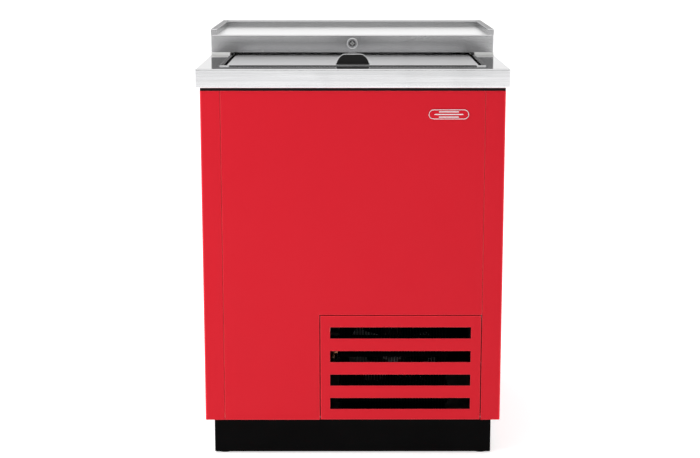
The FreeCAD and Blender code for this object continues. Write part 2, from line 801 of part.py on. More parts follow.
def nameplate():
    """Plain bright badge with a raised rim and no lettering."""
    x = (151.0, 232.0)
    z = (711.0, 731.0)
    thick = 2.2
    rim = 2.0
    relief = 0.8
    end_flat = 0.1
    front = BODY_FRONT - thick
    plate = box(x, (front, BODY_FRONT), z)
    ends = [e for e in plate.Edges if is_line_along(e, BACK)]
    plate = plate.makeFillet((z[1] - z[0]) / 2 - end_flat, ends)
    field = box((x[0] + rim, x[1] - rim), (front - 1, front + relief), (z[0] + rim, z[1] - rim))
    field_ends = [e for e in field.Edges if is_line_along(e, BACK)]
    field = field.makeFillet((z[1] - z[0]) / 2 - rim - end_flat, field_ends)
    return plate.cut(field)


# Machine compartment

def machine_tray():
    """Sheet tray that carries the condensing unit."""
    x = (-66.0, 296.0)
    d = (40.0, 640.0)
    base = PAN_TOP
    height = 12.0
    tray = box(x, d, (base, base + height))
    inner = box((x[0] + SKIN, x[1] - SKIN), (d[0] - 1, d[1] + 1), (base + SKIN, base + height + 1))
    return tray.cut(inner)


TRAY_TOP = PAN_TOP + SKIN


def fin_pack(x, d, z, pitch, tube_r, rows, columns, along):
    """Plate fins on straight tubes that run along X or along the depth."""
    fin_t = 1.0
    overhang = 6.0
    lengths = x if along == RIGHT else d
    across = d if along == RIGHT else x
    count = int((lengths[1] - lengths[0]) / pitch)
    shapes = []
    for index in range(count + 1):
        place = lengths[0] + index * pitch
        span = (place, place + fin_t)
        shapes.append(box(span, d, z) if along == RIGHT else box(x, span, z))
    row_pitch = (z[1] - z[0]) / rows
    column_pitch = (across[1] - across[0]) / columns
    start = lengths[0] - overhang
    length = count * pitch + fin_t + 2 * overhang
    for row in range(rows):
        for column in range(columns):
            height = z[0] + (row + 0.5) * row_pitch
            side = across[0] + (column + 0.5) * column_pitch
            if along == RIGHT:
                shapes.append(rod(tube_r, length, start, side, height, RIGHT))
            else:
                shapes.append(rod(tube_r, length, side, start, height, BACK))
    return fused(shapes)


COIL_X = (-24.0, 194.0)
COIL_Z = (TRAY_TOP + 6.0, 292.0)


def condenser_coil():
    """Finned condenser right behind the grille, on two feet."""
    d = (44.0, 84.0)
    foot_w = 14.0
    coil = fin_pack(COIL_X, d, COIL_Z, 6.0, 4.0, 6, 2, RIGHT)
    foot_l = box((COIL_X[0], COIL_X[0] + foot_w), d, (TRAY_TOP, COIL_Z[0]))
    foot_r = box((COIL_X[1] - foot_w, COIL_X[1] - 1.0), d, (TRAY_TOP, COIL_Z[0]))
    return fused([coil, foot_l, foot_r])


SHROUD_D = (86.0, 116.0)


def condenser_shroud():
    """Black fan shroud: a shallow box with a round collar."""
    wall = 1.5
    collar_r = 94.0
    z = (TRAY_TOP, 294.0)
    x = (COIL_X[0] - 3.0, COIL_X[1] + 3.0)
    block = box(x, SHROUD_D, z)
    inner = box((x[0] + wall, x[1] - wall), (SHROUD_D[0] - 1, SHROUD_D[1] - wall), (z[0] + wall, z[1] - wall))
    return block.cut(inner).cut(rod(collar_r, 40.0, CFAN[0], SHROUD_D[0], CFAN[1], BACK))


def fan_blades(hub_r, tip_r, blades, hub_d, chord, pitch):
    """Fan on a front-to-back axis through X=0, Z=0: hub with a bore and pitched blades."""
    blade_t = 2.0
    hub = rod(hub_r, hub_d[1] - hub_d[0], 0, hub_d[0], 0, BACK)
    middle = (hub_d[0] + hub_d[1]) / 2
    shapes = [hub]
    for index in range(blades):
        blade_d = (middle - blade_t / 2, middle + blade_t / 2)
        blade = box((-chord / 2, chord / 2), blade_d, (hub_r - 3.0, tip_r))
        corners = [e for e in blade.Edges if is_line_along(e, BACK) and e.BoundBox.ZMin > tip_r - 1e-3]
        blade = blade.makeFillet(chord / 3, corners)
        blade.rotate(V(0, deep(middle), 0), UP, pitch)
        blade.rotate(V(0, 0, 0), BACK, index * 360.0 / blades)
        shapes.append(blade)
    fan = fused(shapes)
    return fan.cut(rod(SHAFT_R + RUNNING_FIT, 100.0, 0, hub_d[0] - 20.0, 0, BACK))


CFAN_HUB_D = (122.0, 144.0)
CFAN_MOTOR_D = (150.0, 205.0)


def condenser_fan_blades():
    fan = fan_blades(24.0, 88.0, 5, CFAN_HUB_D, 44.0, 24.0)
    fan.translate(V(CFAN[0], 0, CFAN[1]))
    return fan


def condenser_fan_motor():
    """Fan motor on a folded stand, with its shaft through the fan's hub."""
    motor_r = 36.0
    x, z = CFAN
    stand_d = (170.0, 190.0)
    motor = rod(motor_r, CFAN_MOTOR_D[1] - CFAN_MOTOR_D[0], x, CFAN_MOTOR_D[0], z, BACK)
    motor = motor.makeFillet(6.0, edges_at_depth(motor, CFAN_MOTOR_D[1]))
    shaft = rod(SHAFT_R, CFAN_MOTOR_D[0] - CFAN_HUB_D[0] + 8.0, x, CFAN_HUB_D[0] - 4.0, z, BACK)
    post = box((x - 12.0, x + 12.0), stand_d, (TRAY_TOP, z))
    foot = box((x - 50.0, x + 50.0), stand_d, (TRAY_TOP, TRAY_TOP + 3.0))
    return fused([motor, shaft, post, foot])


COMPRESSOR = (104.0, 340.0)
COMPRESSOR_R = 78.0
COMPRESSOR_Z = (108.0, 258.0)


def compressor_feet():
    """Places of the compressor's four mounts, X and depth."""
    reach_x, reach_d = 82.0, 66.0
    cx, cd = COMPRESSOR
    return [(cx + sx * reach_x, cd + sd * reach_d) for sx in (-1, 1) for sd in (-1, 1)]


def compressor():
    """Hermetic compressor: welded domed can, foot plate and process stubs."""
    dome_r = 34.0
    stub_r = 5.0
    x, d = COMPRESSOR
    can = rod(COMPRESSOR_R, COMPRESSOR_Z[1] - COMPRESSOR_Z[0], x, d, COMPRESSOR_Z[0], UP)
    can = can.makeFillet(dome_r, edges_at_z(can, COMPRESSOR_Z[1]) + edges_at_z(can, COMPRESSOR_Z[0]))
    middle = sum(COMPRESSOR_Z) / 2
    weld = rod(COMPRESSOR_R + 2.5, 5.0, x, d, middle, UP)
    plate = box((x - 96.0, x + 96.0), (d - 80.0, d + 80.0), (COMPRESSOR_Z[0], COMPRESSOR_Z[0] + 3.0))
    for foot_x, foot_d in compressor_feet():
        plate = plate.cut(rod(6.0, 10.0, foot_x, foot_d, COMPRESSOR_Z[0] - 2.0, UP))
    stub = rod(stub_r, 30.0, x - COMPRESSOR_R - 8.0, d, middle + 30.0, RIGHT)
    return fused([can, weld, plate, stub])


def compressor_mounts():
    """Rubber grommets under and through the compressor's foot plate."""
    mounts = []
    for x, d in compressor_feet():
        lower = rod(12.0, COMPRESSOR_Z[0] - TRAY_TOP, x, d, TRAY_TOP, UP)
        neck = rod(6.0, 6.0, x, d, COMPRESSOR_Z[0] - 1.0, UP)
        upper = rod(10.0, 4.0, x, d, COMPRESSOR_Z[0] + 3.0, UP)
        mounts.append(fused([lower, neck, upper]))
    return Part.makeCompound(mounts)


def start_relay_box():
    """Black cover over the compressor's terminals and start relay."""
    x, d = COMPRESSOR
    half_w = 30.0
    corner_r = 4.0
    can_gap = 3.0
    box_x = (x + COMPRESSOR_R - 8.0, x + COMPRESSOR_R + 34.0)
    block = box(box_x, (d - half_w, d + half_w), (196.0, 246.0))
    block = block.makeFillet(corner_r, [e for e in block.Edges if upright(e)])
    can = rod(COMPRESSOR_R + can_gap, COMPRESSOR_Z[1], x, d, 0, UP)
    return block.cut(can)


DRIER = (-44.0, 150.0)


def filter_drier():
    """Copper filter drier: a spun cylinder with necked ends."""
    radius = 10.0
    d = (250.0, 350.0)
    x, z = DRIER
    body = rod(radius, d[1] - d[0], x, d[0], z, BACK)
    return body.makeFillet(5.0, edges_at_depth(body, d[0]) + edges_at_depth(body, d[1]))


def refrigerant_lines():
    """Copper lines: discharge, liquid and suction."""
    thin, thick = 3.2, 4.8
    bend = 14.0
    cx, cd = COMPRESSOR
    suction_x, suction_d, _ = LINE_HOLES[0]
    stub_z = sum(COMPRESSOR_Z) / 2 + 30.0
    stub_x = cx - COMPRESSOR_R - 8.0
    discharge = pipe([(stub_x, cd, stub_z), (-52.0, cd, stub_z), (-52.0, 64.0, stub_z),
                      (-31.0, 64.0, stub_z)], thin, bend)
    liquid = pipe([(-31.0, 74.0, 115.0), (-60.0, 74.0, 115.0), (-60.0, 200.0, 115.0),
                   (DRIER[0], 222.0, DRIER[1]), (DRIER[0], 250.0, DRIER[1])], thin, 8.0)
    suction = pipe([(cx, cd + COMPRESSOR_R, 176.0), (cx, suction_d, 176.0),
                    (suction_x, suction_d, 176.0), (suction_x, suction_d, 384.0)], thick, bend)
    return Part.makeCompound([discharge, liquid, suction])


PAN_X = (190.0, 288.0)
PAN_D = (480.0, 620.0)


def condensate_drain():
    """Evaporation tray for the defrost water and the tube that drains into it."""
    wall = 2.0
    base = TRAY_TOP
    rim = base + 34.0
    tray = box(PAN_X, PAN_D, (base, rim))
    tray = tray.makeFillet(6.0, [e for e in tray.Edges if upright(e)])
    inner_x = (PAN_X[0] + wall, PAN_X[1] - wall)
    tray = tray.cut(box(inner_x, (PAN_D[0] + wall, PAN_D[1] - wall), (base + wall, rim + 1)))
    x, d, radius = LINE_HOLES[1]
    tube_bottom = rim + 6.0
    tube = rod(radius - 1.0, SHALLOW_FLOOR - tube_bottom, x, d, tube_bottom, UP)
    tube = tube.cut(rod(radius - 2.5, 400.0, x, d, 0, UP))
    return Part.makeCompound([tray, tube])


# Air cooler inside the tub

COVER_X = (186.0, WELL_HALF_W - 0.5)
COVER_D = (176.0, 544.0)
COVER_Z = (SHALLOW_FLOOR + 4.0, 640.0)
FAN_HOLE_R = 76.0


def evaporator_cover():
    """Galvanised cover over the coil and its fan: fan opening in front, air slots below."""
    slot_h = 10.0
    slot_pitch = 22.0
    slot_d = (380.0, 510.0)
    block = box(COVER_X, COVER_D, COVER_Z)
    edges = [e for e in block.Edges if e.BoundBox.XMax < COVER_X[0] + 1]
    block = block.makeFillet(3.0, edges)
    inner_d = (COVER_D[0] + LINER, COVER_D[1] - LINER)
    block = block.cut(box((COVER_X[0] + LINER, COVER_X[1] + 1), inner_d, (0, COVER_Z[1] - LINER)))
    block = block.cut(rod(FAN_HOLE_R, 20.0, COVER_X[0] - 10.0, EFAN[0], EFAN[1], RIGHT))
    for index in range(6):
        low = COVER_Z[0] + 30.0 + index * slot_pitch
        block = block.cut(box((COVER_X[0] - 1, COVER_X[0] + 5), slot_d, (low, low + slot_h)))
    return block.cut(rod(6.0, 20.0, COVER_X[0] - 10.0, KNOB[0], KNOB[1], RIGHT))


def evaporator_coil():
    return fin_pack((204.0, 242.0), (366.0, 526.0), (390.0, 560.0), 6.0, 4.0, 6, 2, BACK)


EFAN_X = (196.0, 208.0)


def lay_on_x(shape):
    """Turn a shape made on the front-to-back axis so that it lies along X."""
    copy = shape.copy()
    copy.rotate(V(0, 0, 0), UP, -90.0)
    return copy


def evaporator_fan_blades():
    fan = fan_blades(18.0, 72.0, 4, (-FRONT_Y, -FRONT_Y + EFAN_X[1] - EFAN_X[0]), 26.0, 18.0)
    fan = lay_on_x(fan)
    fan.translate(V(EFAN_X[0], deep(EFAN[0]), EFAN[1]))
    return fan


def evaporator_fan_motor():
    """Shaded-pole motor on a cross bracket behind the evaporator fan."""
    motor_r = 24.0
    motor_x = (212.0, 240.0)
    d, z = EFAN
    motor = rod(motor_r, motor_x[1] - motor_x[0], motor_x[0], d, z, RIGHT)
    shaft = rod(SHAFT_R, motor_x[0] - EFAN_X[0] + 3.0, EFAN_X[0] - 3.0, d, z, RIGHT)
    bracket = box((236.0, 240.0), (COVER_D[0] + LINER, d + 80.0), (z - 8.0, z + 8.0))
    return fused([motor, shaft, bracket])


def evaporator_fan_guard():
    """Round wire guard over the fan opening."""
    wire_r = 1.5
    ring_radii = (20.0, 38.0, 56.0, 74.0, 80.0)
    d, z = EFAN
    x = COVER_X[0] - wire_r
    centre = V(x, deep(d), z)
    guard = Part.makeTorus(ring_radii[-1], wire_r, centre, RIGHT)
    for radius in ring_radii[:-1]:
        guard = guard.fuse(Part.makeTorus(radius, wire_r, centre, RIGHT))
    spoke_r = 1.2
    reach = ring_radii[-1]
    for angle in (35.0, 125.0):
        spoke = rod(spoke_r, 2 * reach, x - 0.7, d - reach, z, BACK)
        spoke.rotate(centre, RIGHT, angle)
        guard = guard.fuse(spoke)
    return guard


def thermostat():
    """Control box behind the cover, with the spindle that carries the knob."""
    half_d, half_z = 24.0, 20.0
    d, z = KNOB
    case_x = (COVER_X[0] + LINER + 2.0, COVER_X[0] + 38.0)
    case = box(case_x, (d - half_d, d + half_d), (z - half_z, z + half_z))
    spindle = rod(KNOB_SHAFT_R, 24.0, COVER_X[0] - 14.0, d, z, RIGHT)
    return case.fuse(spindle)


def thermostat_knob():
    """Knob with a grip bar and a pointer notch."""
    skirt_r = 18.0
    grip_half = 4.0
    d, z = KNOB
    face_x = COVER_X[0] - 0.6
    skirt = rod(skirt_r, 4.0, face_x - 4.0, d, z, RIGHT)
    grip_z = (z - skirt_r + 2, z + skirt_r - 2)
    grip = box((face_x - 16.0, face_x - 4.0), (d - grip_half, d + grip_half), grip_z)
    hub = rod(8.0, 12.0, face_x - 16.0, d, z, RIGHT)
    notch = box((face_x - 17.0, face_x - 14.5), (d - 0.8, d + 0.8), (z + 6.0, z + skirt_r))
    bore = rod(KNOB_SHAFT_R + RUNNING_FIT, 17.0, face_x - 14.5, d, z, RIGHT)
    return fused([skirt, grip, hub]).cut(notch).cut(bore)


# Wire goods in the tub

WIRE_R = 1.5
FRAME_WIRE_R = 2.5
WELD_OFFSET = 0.9         # cross wires lie this far to one side of the frame wire's middle
BALL_R = FRAME_WIRE_R + 0.1
RAIL_LIP_Z = 634.0


def divider_rails():
    """Two angle strips on the front and the rear wall that carry the divider."""
    x = (-WELL_HALF_W + 12.0, COVER_X[0] - 6.0)
    ledge_z = RAIL_LIP_Z - 8.0
    reach = 10.0
    sheet = 1.5
    strips = []
    for wall, way in ((WELL_FRONT, 1), (WELL_BACK, -1)):
        edge = wall + way * reach
        ledge = box(x, sorted((wall, edge)), (ledge_z, ledge_z + sheet))
        lip = box(x, sorted((edge - way * sheet, edge)), (ledge_z, RAIL_LIP_Z))
        strips.append(ledge.fuse(lip).removeSplitter())
    return Part.makeCompound(strips)


def bin_divider():
    """Welded wire divider over the step, hooked on the two rails."""
    x = STEP_X + 6.0
    gap = 0.4
    bottom = SHALLOW_FLOOR + 6.0
    top = RAIL_LIP_Z + gap + FRAME_WIRE_R
    side = 14.0
    hook = 4.5
    hook_leg = 5.0
    side_r = FRAME_WIRE_R - 0.3
    d = (WELL_FRONT + side, WELL_BACK - side)
    wires = []
    hook_d = (WELL_FRONT + hook, WELL_BACK - hook)
    wires.append(rod(FRAME_WIRE_R, hook_d[1] - hook_d[0], x, hook_d[0], top, BACK))
    wires.append(rod(FRAME_WIRE_R, d[1] - d[0], x, d[0], bottom, BACK))
    for end in d:
        wires.append(rod(side_r, top - bottom, x, end, bottom, UP))
        wires.append(Part.makeSphere(BALL_R, V(x, deep(end), bottom)))
    for end in hook_d:
        wires.append(rod(side_r, hook_leg, x, end, top - hook_leg, UP))
        wires.append(Part.makeSphere(BALL_R, V(x, deep(end), top)))
    count = 13
    pitch = (d[1] - d[0]) / count
    for index in range(1, count):
        wires.append(rod(WIRE_R, top - bottom, x + WELD_OFFSET, d[0] + index * pitch, bottom, UP))
    for share in (1, 2):
        height = bottom + (top - bottom) * share / 3
        wires.append(rod(WIRE_R, d[1] - d[0], x - WELD_OFFSET, d[0], height, BACK))
    return fused(wires)


def floor_rack(x, floor):
    """Flat wire rack: border frame, cross wires on top, short legs at the corners."""
    lift = 10.0
    gap = 0.3
    d = (WELL_FRONT + 6.0, WELL_BACK - 6.0)
    z = floor + lift
    wires = []
    for side in x:
        wires.append(rod(FRAME_WIRE_R, d[1] - d[0], side, d[0], z, BACK))
    for end in d:
        wires.append(rod(FRAME_WIRE_R, x[1] - x[0], x[0], end, z, RIGHT))
        for side in x:
            wires.append(Part.makeSphere(BALL_R, V(side, deep(end), z)))
            wires.append(rod(FRAME_WIRE_R, lift - gap, side, end, floor + gap, UP))
    count = 14
    pitch = (d[1] - d[0]) / count
    for index in range(1, count):
        wires.append(rod(WIRE_R, x[1] - x[0], x[0], d[0] + index * pitch, z + WELD_OFFSET, RIGHT))
    return fused(wires)


def deep_floor_rack():
    return floor_rack((-WELL_HALF_W + 8.0, STEP_X - 8.0), DEEP_FLOOR)


def shallow_floor_rack():
    return floor_rack((STEP_X + 16.0, COVER_X[0] - 12.0), SHALLOW_FLOOR)


right_panel = side_panel()
save("right_side_panel", right_panel)
save("left_side_panel", mirrored(right_panel))
for maker in (front_panel, back_panel, bottom_pan, kick_frame, levelling_feet, back_screws, rear_bumpers,
              cord_gland, front_grille, grille_clips, grille_mounts, countertop, countertop_core,
              breaker_strip, well_liner, cabinet_foam, machine_partition, rear_deck, lid_tracks, lid_seats,
              lid_shell, lid_foam, lid_liner, lid_glides, lid_gaskets, lid_handle, lid_strike, shelf_box,
              shelf_spacers, shelf_rail, lock_body, lock_nut, lock_plug, lock_cam, nameplate, machine_tray,
              condenser_coil, condenser_shroud, condenser_fan_blades, condenser_fan_motor, compressor,
              compressor_mounts, start_relay_box, filter_drier, refrigerant_lines, condensate_drain,
              evaporator_cover, evaporator_coil, evaporator_fan_blades, evaporator_fan_motor,
              evaporator_fan_guard, thermostat, thermostat_knob, divider_rails, bin_divider,
              deep_floor_rack, shallow_floor_rack):
    save(maker.__name__, maker())
save("rear_deck_foam", deck_core(LINER))
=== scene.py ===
import json
import math

import bmesh
import bpy
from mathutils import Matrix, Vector


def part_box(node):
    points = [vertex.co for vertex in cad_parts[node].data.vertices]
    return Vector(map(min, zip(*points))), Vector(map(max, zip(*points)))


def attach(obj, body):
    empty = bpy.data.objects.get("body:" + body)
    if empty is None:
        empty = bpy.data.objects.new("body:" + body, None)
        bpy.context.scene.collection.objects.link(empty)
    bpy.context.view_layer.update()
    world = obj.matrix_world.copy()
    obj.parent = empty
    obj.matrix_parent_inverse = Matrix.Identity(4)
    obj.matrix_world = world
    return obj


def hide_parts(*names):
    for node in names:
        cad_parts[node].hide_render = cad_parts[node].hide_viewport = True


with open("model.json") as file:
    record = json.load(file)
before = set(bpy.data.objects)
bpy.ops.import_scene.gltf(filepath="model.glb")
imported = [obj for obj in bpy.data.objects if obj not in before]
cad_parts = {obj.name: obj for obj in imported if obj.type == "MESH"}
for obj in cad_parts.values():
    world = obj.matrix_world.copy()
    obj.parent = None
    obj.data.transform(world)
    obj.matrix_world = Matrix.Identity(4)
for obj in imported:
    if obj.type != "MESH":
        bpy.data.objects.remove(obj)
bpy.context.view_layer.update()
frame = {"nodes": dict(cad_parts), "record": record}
nodes = frame["nodes"]
slot_of = {part["node"]: part["material_slot"] for part in frame["record"]["subparts"]}

# Lengths are in metres and angles in radians; the camera's lens and sensor are in millimetres.
QUARTER_TURN = math.pi / 2


# Camera

CAMERA_PLACE = (-0.0101, -3.2662, 1.0794)
CAMERA_PITCH = 0.1855
CAMERA_YAW = -0.0015
CAMERA_LENS = 75.76
CAMERA_SHIFT = -0.03
CAMERA_REACH = 200.0
SENSOR = 36.0


def link_object(name, data):
    made = bpy.data.objects.new(name, data)
    bpy.context.scene.collection.objects.link(made)
    return made


def make_camera():
    """Tilted camera with a small lens shift, placed to fit the photo."""
    data = bpy.data.cameras.new("camera")
    data.sensor_width = SENSOR
    data.lens = CAMERA_LENS
    data.shift_y = CAMERA_SHIFT
    data.clip_end = CAMERA_REACH
    camera = link_object("camera", data)
    camera.location = CAMERA_PLACE
    camera.rotation_euler = (QUARTER_TURN - CAMERA_PITCH, 0, CAMERA_YAW)
    bpy.context.scene.camera = camera


# Floor

FLOOR_SIDE = 60.0
FLOOR_FRONT = -10.5
FLOOR_BACK = 60.0
FLOOR_COLOUR = (0.9, 0.9, 0.9, 1)
FLOOR_ROUGHNESS = 0.9
FLOOR_GLOW = 0.6


def make_floor():
    """White studio floor; it ends some way in front, where the dark end of the room begins."""
    mesh = bpy.data.meshes.new("floor")
    corners = [
        (-FLOOR_SIDE, FLOOR_FRONT, 0),
        (FLOOR_SIDE, FLOOR_FRONT, 0),
        (FLOOR_SIDE, FLOOR_BACK, 0),
        (-FLOOR_SIDE, FLOOR_BACK, 0),
    ]
    mesh.from_pydata(corners, [], [(0, 1, 2, 3)])
    floor = link_object("floor", mesh)
    material = bpy.data.materials.new("floor")
    material.use_nodes = True
    shader = material.node_tree.nodes["Principled BSDF"]
    shader.inputs["Base Color"].default_value = FLOOR_COLOUR
    shader.inputs["Roughness"].default_value = FLOOR_ROUGHNESS
    shader.inputs["Specular IOR Level"].default_value = 0.0
    shader.inputs["Emission Color"].default_value = (1, 1, 1, 1)
    shader.inputs["Emission Strength"].default_value = FLOOR_GLOW
    mesh.materials.append(material)


# Sky

FRONT_BAND = 0.21
FRONT_RISE = 0.5
SKY_TOP = 1.5
SKY_BACK = 1.1
SKY_HIGH = 0.62
SKY_MATT_FRONT = 0.12
SKY_MATT_BACK = 0.3

# Stops of a ramp: place along an axis from -1 to 1, and the brightness or the share there.
FRONT_STOPS = [(-0.2, FRONT_BAND), (0.12, FRONT_BAND), (0.3, FRONT_RISE), (0.8, SKY_TOP)]
BACK_STOPS = [(0.0, SKY_BACK), (0.28, SKY_BACK), (0.62, SKY_HIGH), (1.0, SKY_HIGH)]
FRONT_TO_BACK = [(-0.4, 0.0), (0.1, 1.0)]

# Sockets of a Mix node set to colour.
MIX_A = 6
MIX_B = 7
MIX_RESULT = 2


class Sky:
    """World shader: brightness ramps along the view direction, mixed by the kind of ray."""

    def __init__(self):
        world = bpy.data.worlds.new("studio")
        world.use_nodes = True
        bpy.context.scene.world = world
        self.tree = world.node_tree
        place = self.tree.nodes.new("ShaderNodeTexCoord")
        self.axes = self.tree.nodes.new("ShaderNodeSeparateXYZ")
        self.tree.links.new(place.outputs["Generated"], self.axes.inputs[0])
        self.rays = self.tree.nodes.new("ShaderNodeLightPath")

    def ramp(self, axis, stops):
        """Brightness along one axis of the view direction."""
        shift = self.tree.nodes.new("ShaderNodeMapRange")
        shift.inputs["From Min"].default_value = -1.0
        shift.inputs["From Max"].default_value = 1.0
        self.tree.links.new(self.axes.outputs[axis], shift.inputs["Value"])
        node = self.tree.nodes.new("ShaderNodeValToRGB")
        self.tree.links.new(shift.outputs[0], node.inputs[0])
        band = node.color_ramp
        while len(band.elements) < len(stops):
            band.elements.new(0.5)
        for element, (place, level) in zip(band.elements, stops):
            element.position = (place + 1) / 2
            element.color = (level, level, level, 1)
        return node.outputs[0]

    def mix(self, factor, first, second):
        node = self.tree.nodes.new("ShaderNodeMix")
        node.data_type = "RGBA"
        self.tree.links.new(factor, node.inputs[0])
        for value, socket in ((first, MIX_A), (second, MIX_B)):
            if isinstance(value, float):
                node.inputs[socket].default_value = (value, value, value, 1)
            else:
                self.tree.links.new(value, node.inputs[socket])
        return node.outputs[MIX_RESULT]


def make_sky():
    """The camera sees white, polished surfaces see a shaded room, matt ones get a dimmer light."""
    sky = Sky()
    front = sky.ramp("Z", FRONT_STOPS)
    behind = sky.ramp("Y", FRONT_TO_BACK)
    back = sky.ramp("Z", BACK_STOPS)
    seen_in_gloss = sky.mix(behind, front, back)
    matt = sky.mix(behind, SKY_MATT_FRONT, SKY_MATT_BACK)
    light = sky.mix(sky.rays.outputs["Is Glossy Ray"], matt, seen_in_gloss)
    light = sky.mix(sky.rays.outputs["Is Camera Ray"], light, SKY_BACK)
    sky.tree.links.new(light, sky.tree.nodes["Background"].inputs["Color"])


# Lights

KEY_PLACE = Vector((-1.6, -1.25, 1.6))
KEY_TARGET = Vector((0, 0, 0.4))
KEY_SIZE = 1.2
KEY_POWER = 19
OVERHEAD_POWER = 1.7
OVERHEAD_ANGLE = math.radians(80)
OVERHEAD_TILT = (math.radians(4), math.radians(-6), 0)


def hide_lamp(lamp):
    lamp.visible_camera = False
    lamp.visible_glossy = False


def make_lights():
    """Soft key from the upper left and a broad light from above, neither seen as a reflection."""
    key_data = bpy.data.lights.new("key", "AREA")
    key_data.shape = "SQUARE"
    key_data.size = KEY_SIZE
    key_data.energy = KEY_POWER
    key = link_object("key", key_data)
    key.location = KEY_PLACE
    key.rotation_euler = (KEY_TARGET - KEY_PLACE).to_track_quat("-Z", "Y").to_euler()
    hide_lamp(key)
    overhead_data = bpy.data.lights.new("overhead", "SUN")
    overhead_data.energy = OVERHEAD_POWER
    overhead_data.angle = OVERHEAD_ANGLE
    overhead = link_object("overhead", overhead_data)
    overhead.rotation_euler = OVERHEAD_TILT
    hide_lamp(overhead)


def set_view():
    settings = bpy.context.scene.view_settings
    settings.view_transform = "Standard"
    settings.look = "None"
    settings.exposure = 0.0
    settings.gamma = 1.0


# Materials

BEVEL_SAMPLES = 4
# Cosine between a face's normal and its softened one: no edge tint yet, and full edge tint; the tint is
# wear on some finishes and a painted highlight on others.
EDGE_FLAT = 0.995
EDGE_SHARP = 0.8
# Largest component of a normal: on a flat face, and on a rounded rim.
RIM_FLAT = 0.9995
RIM_ROUND = 0.97
# Upward component of a normal: not level yet, and level.
LEVEL_START = 0.7
LEVEL_FULL = 0.95

# Sockets of a Mix node set to a number.
MIX_FIRST = 2
MIX_SECOND = 3


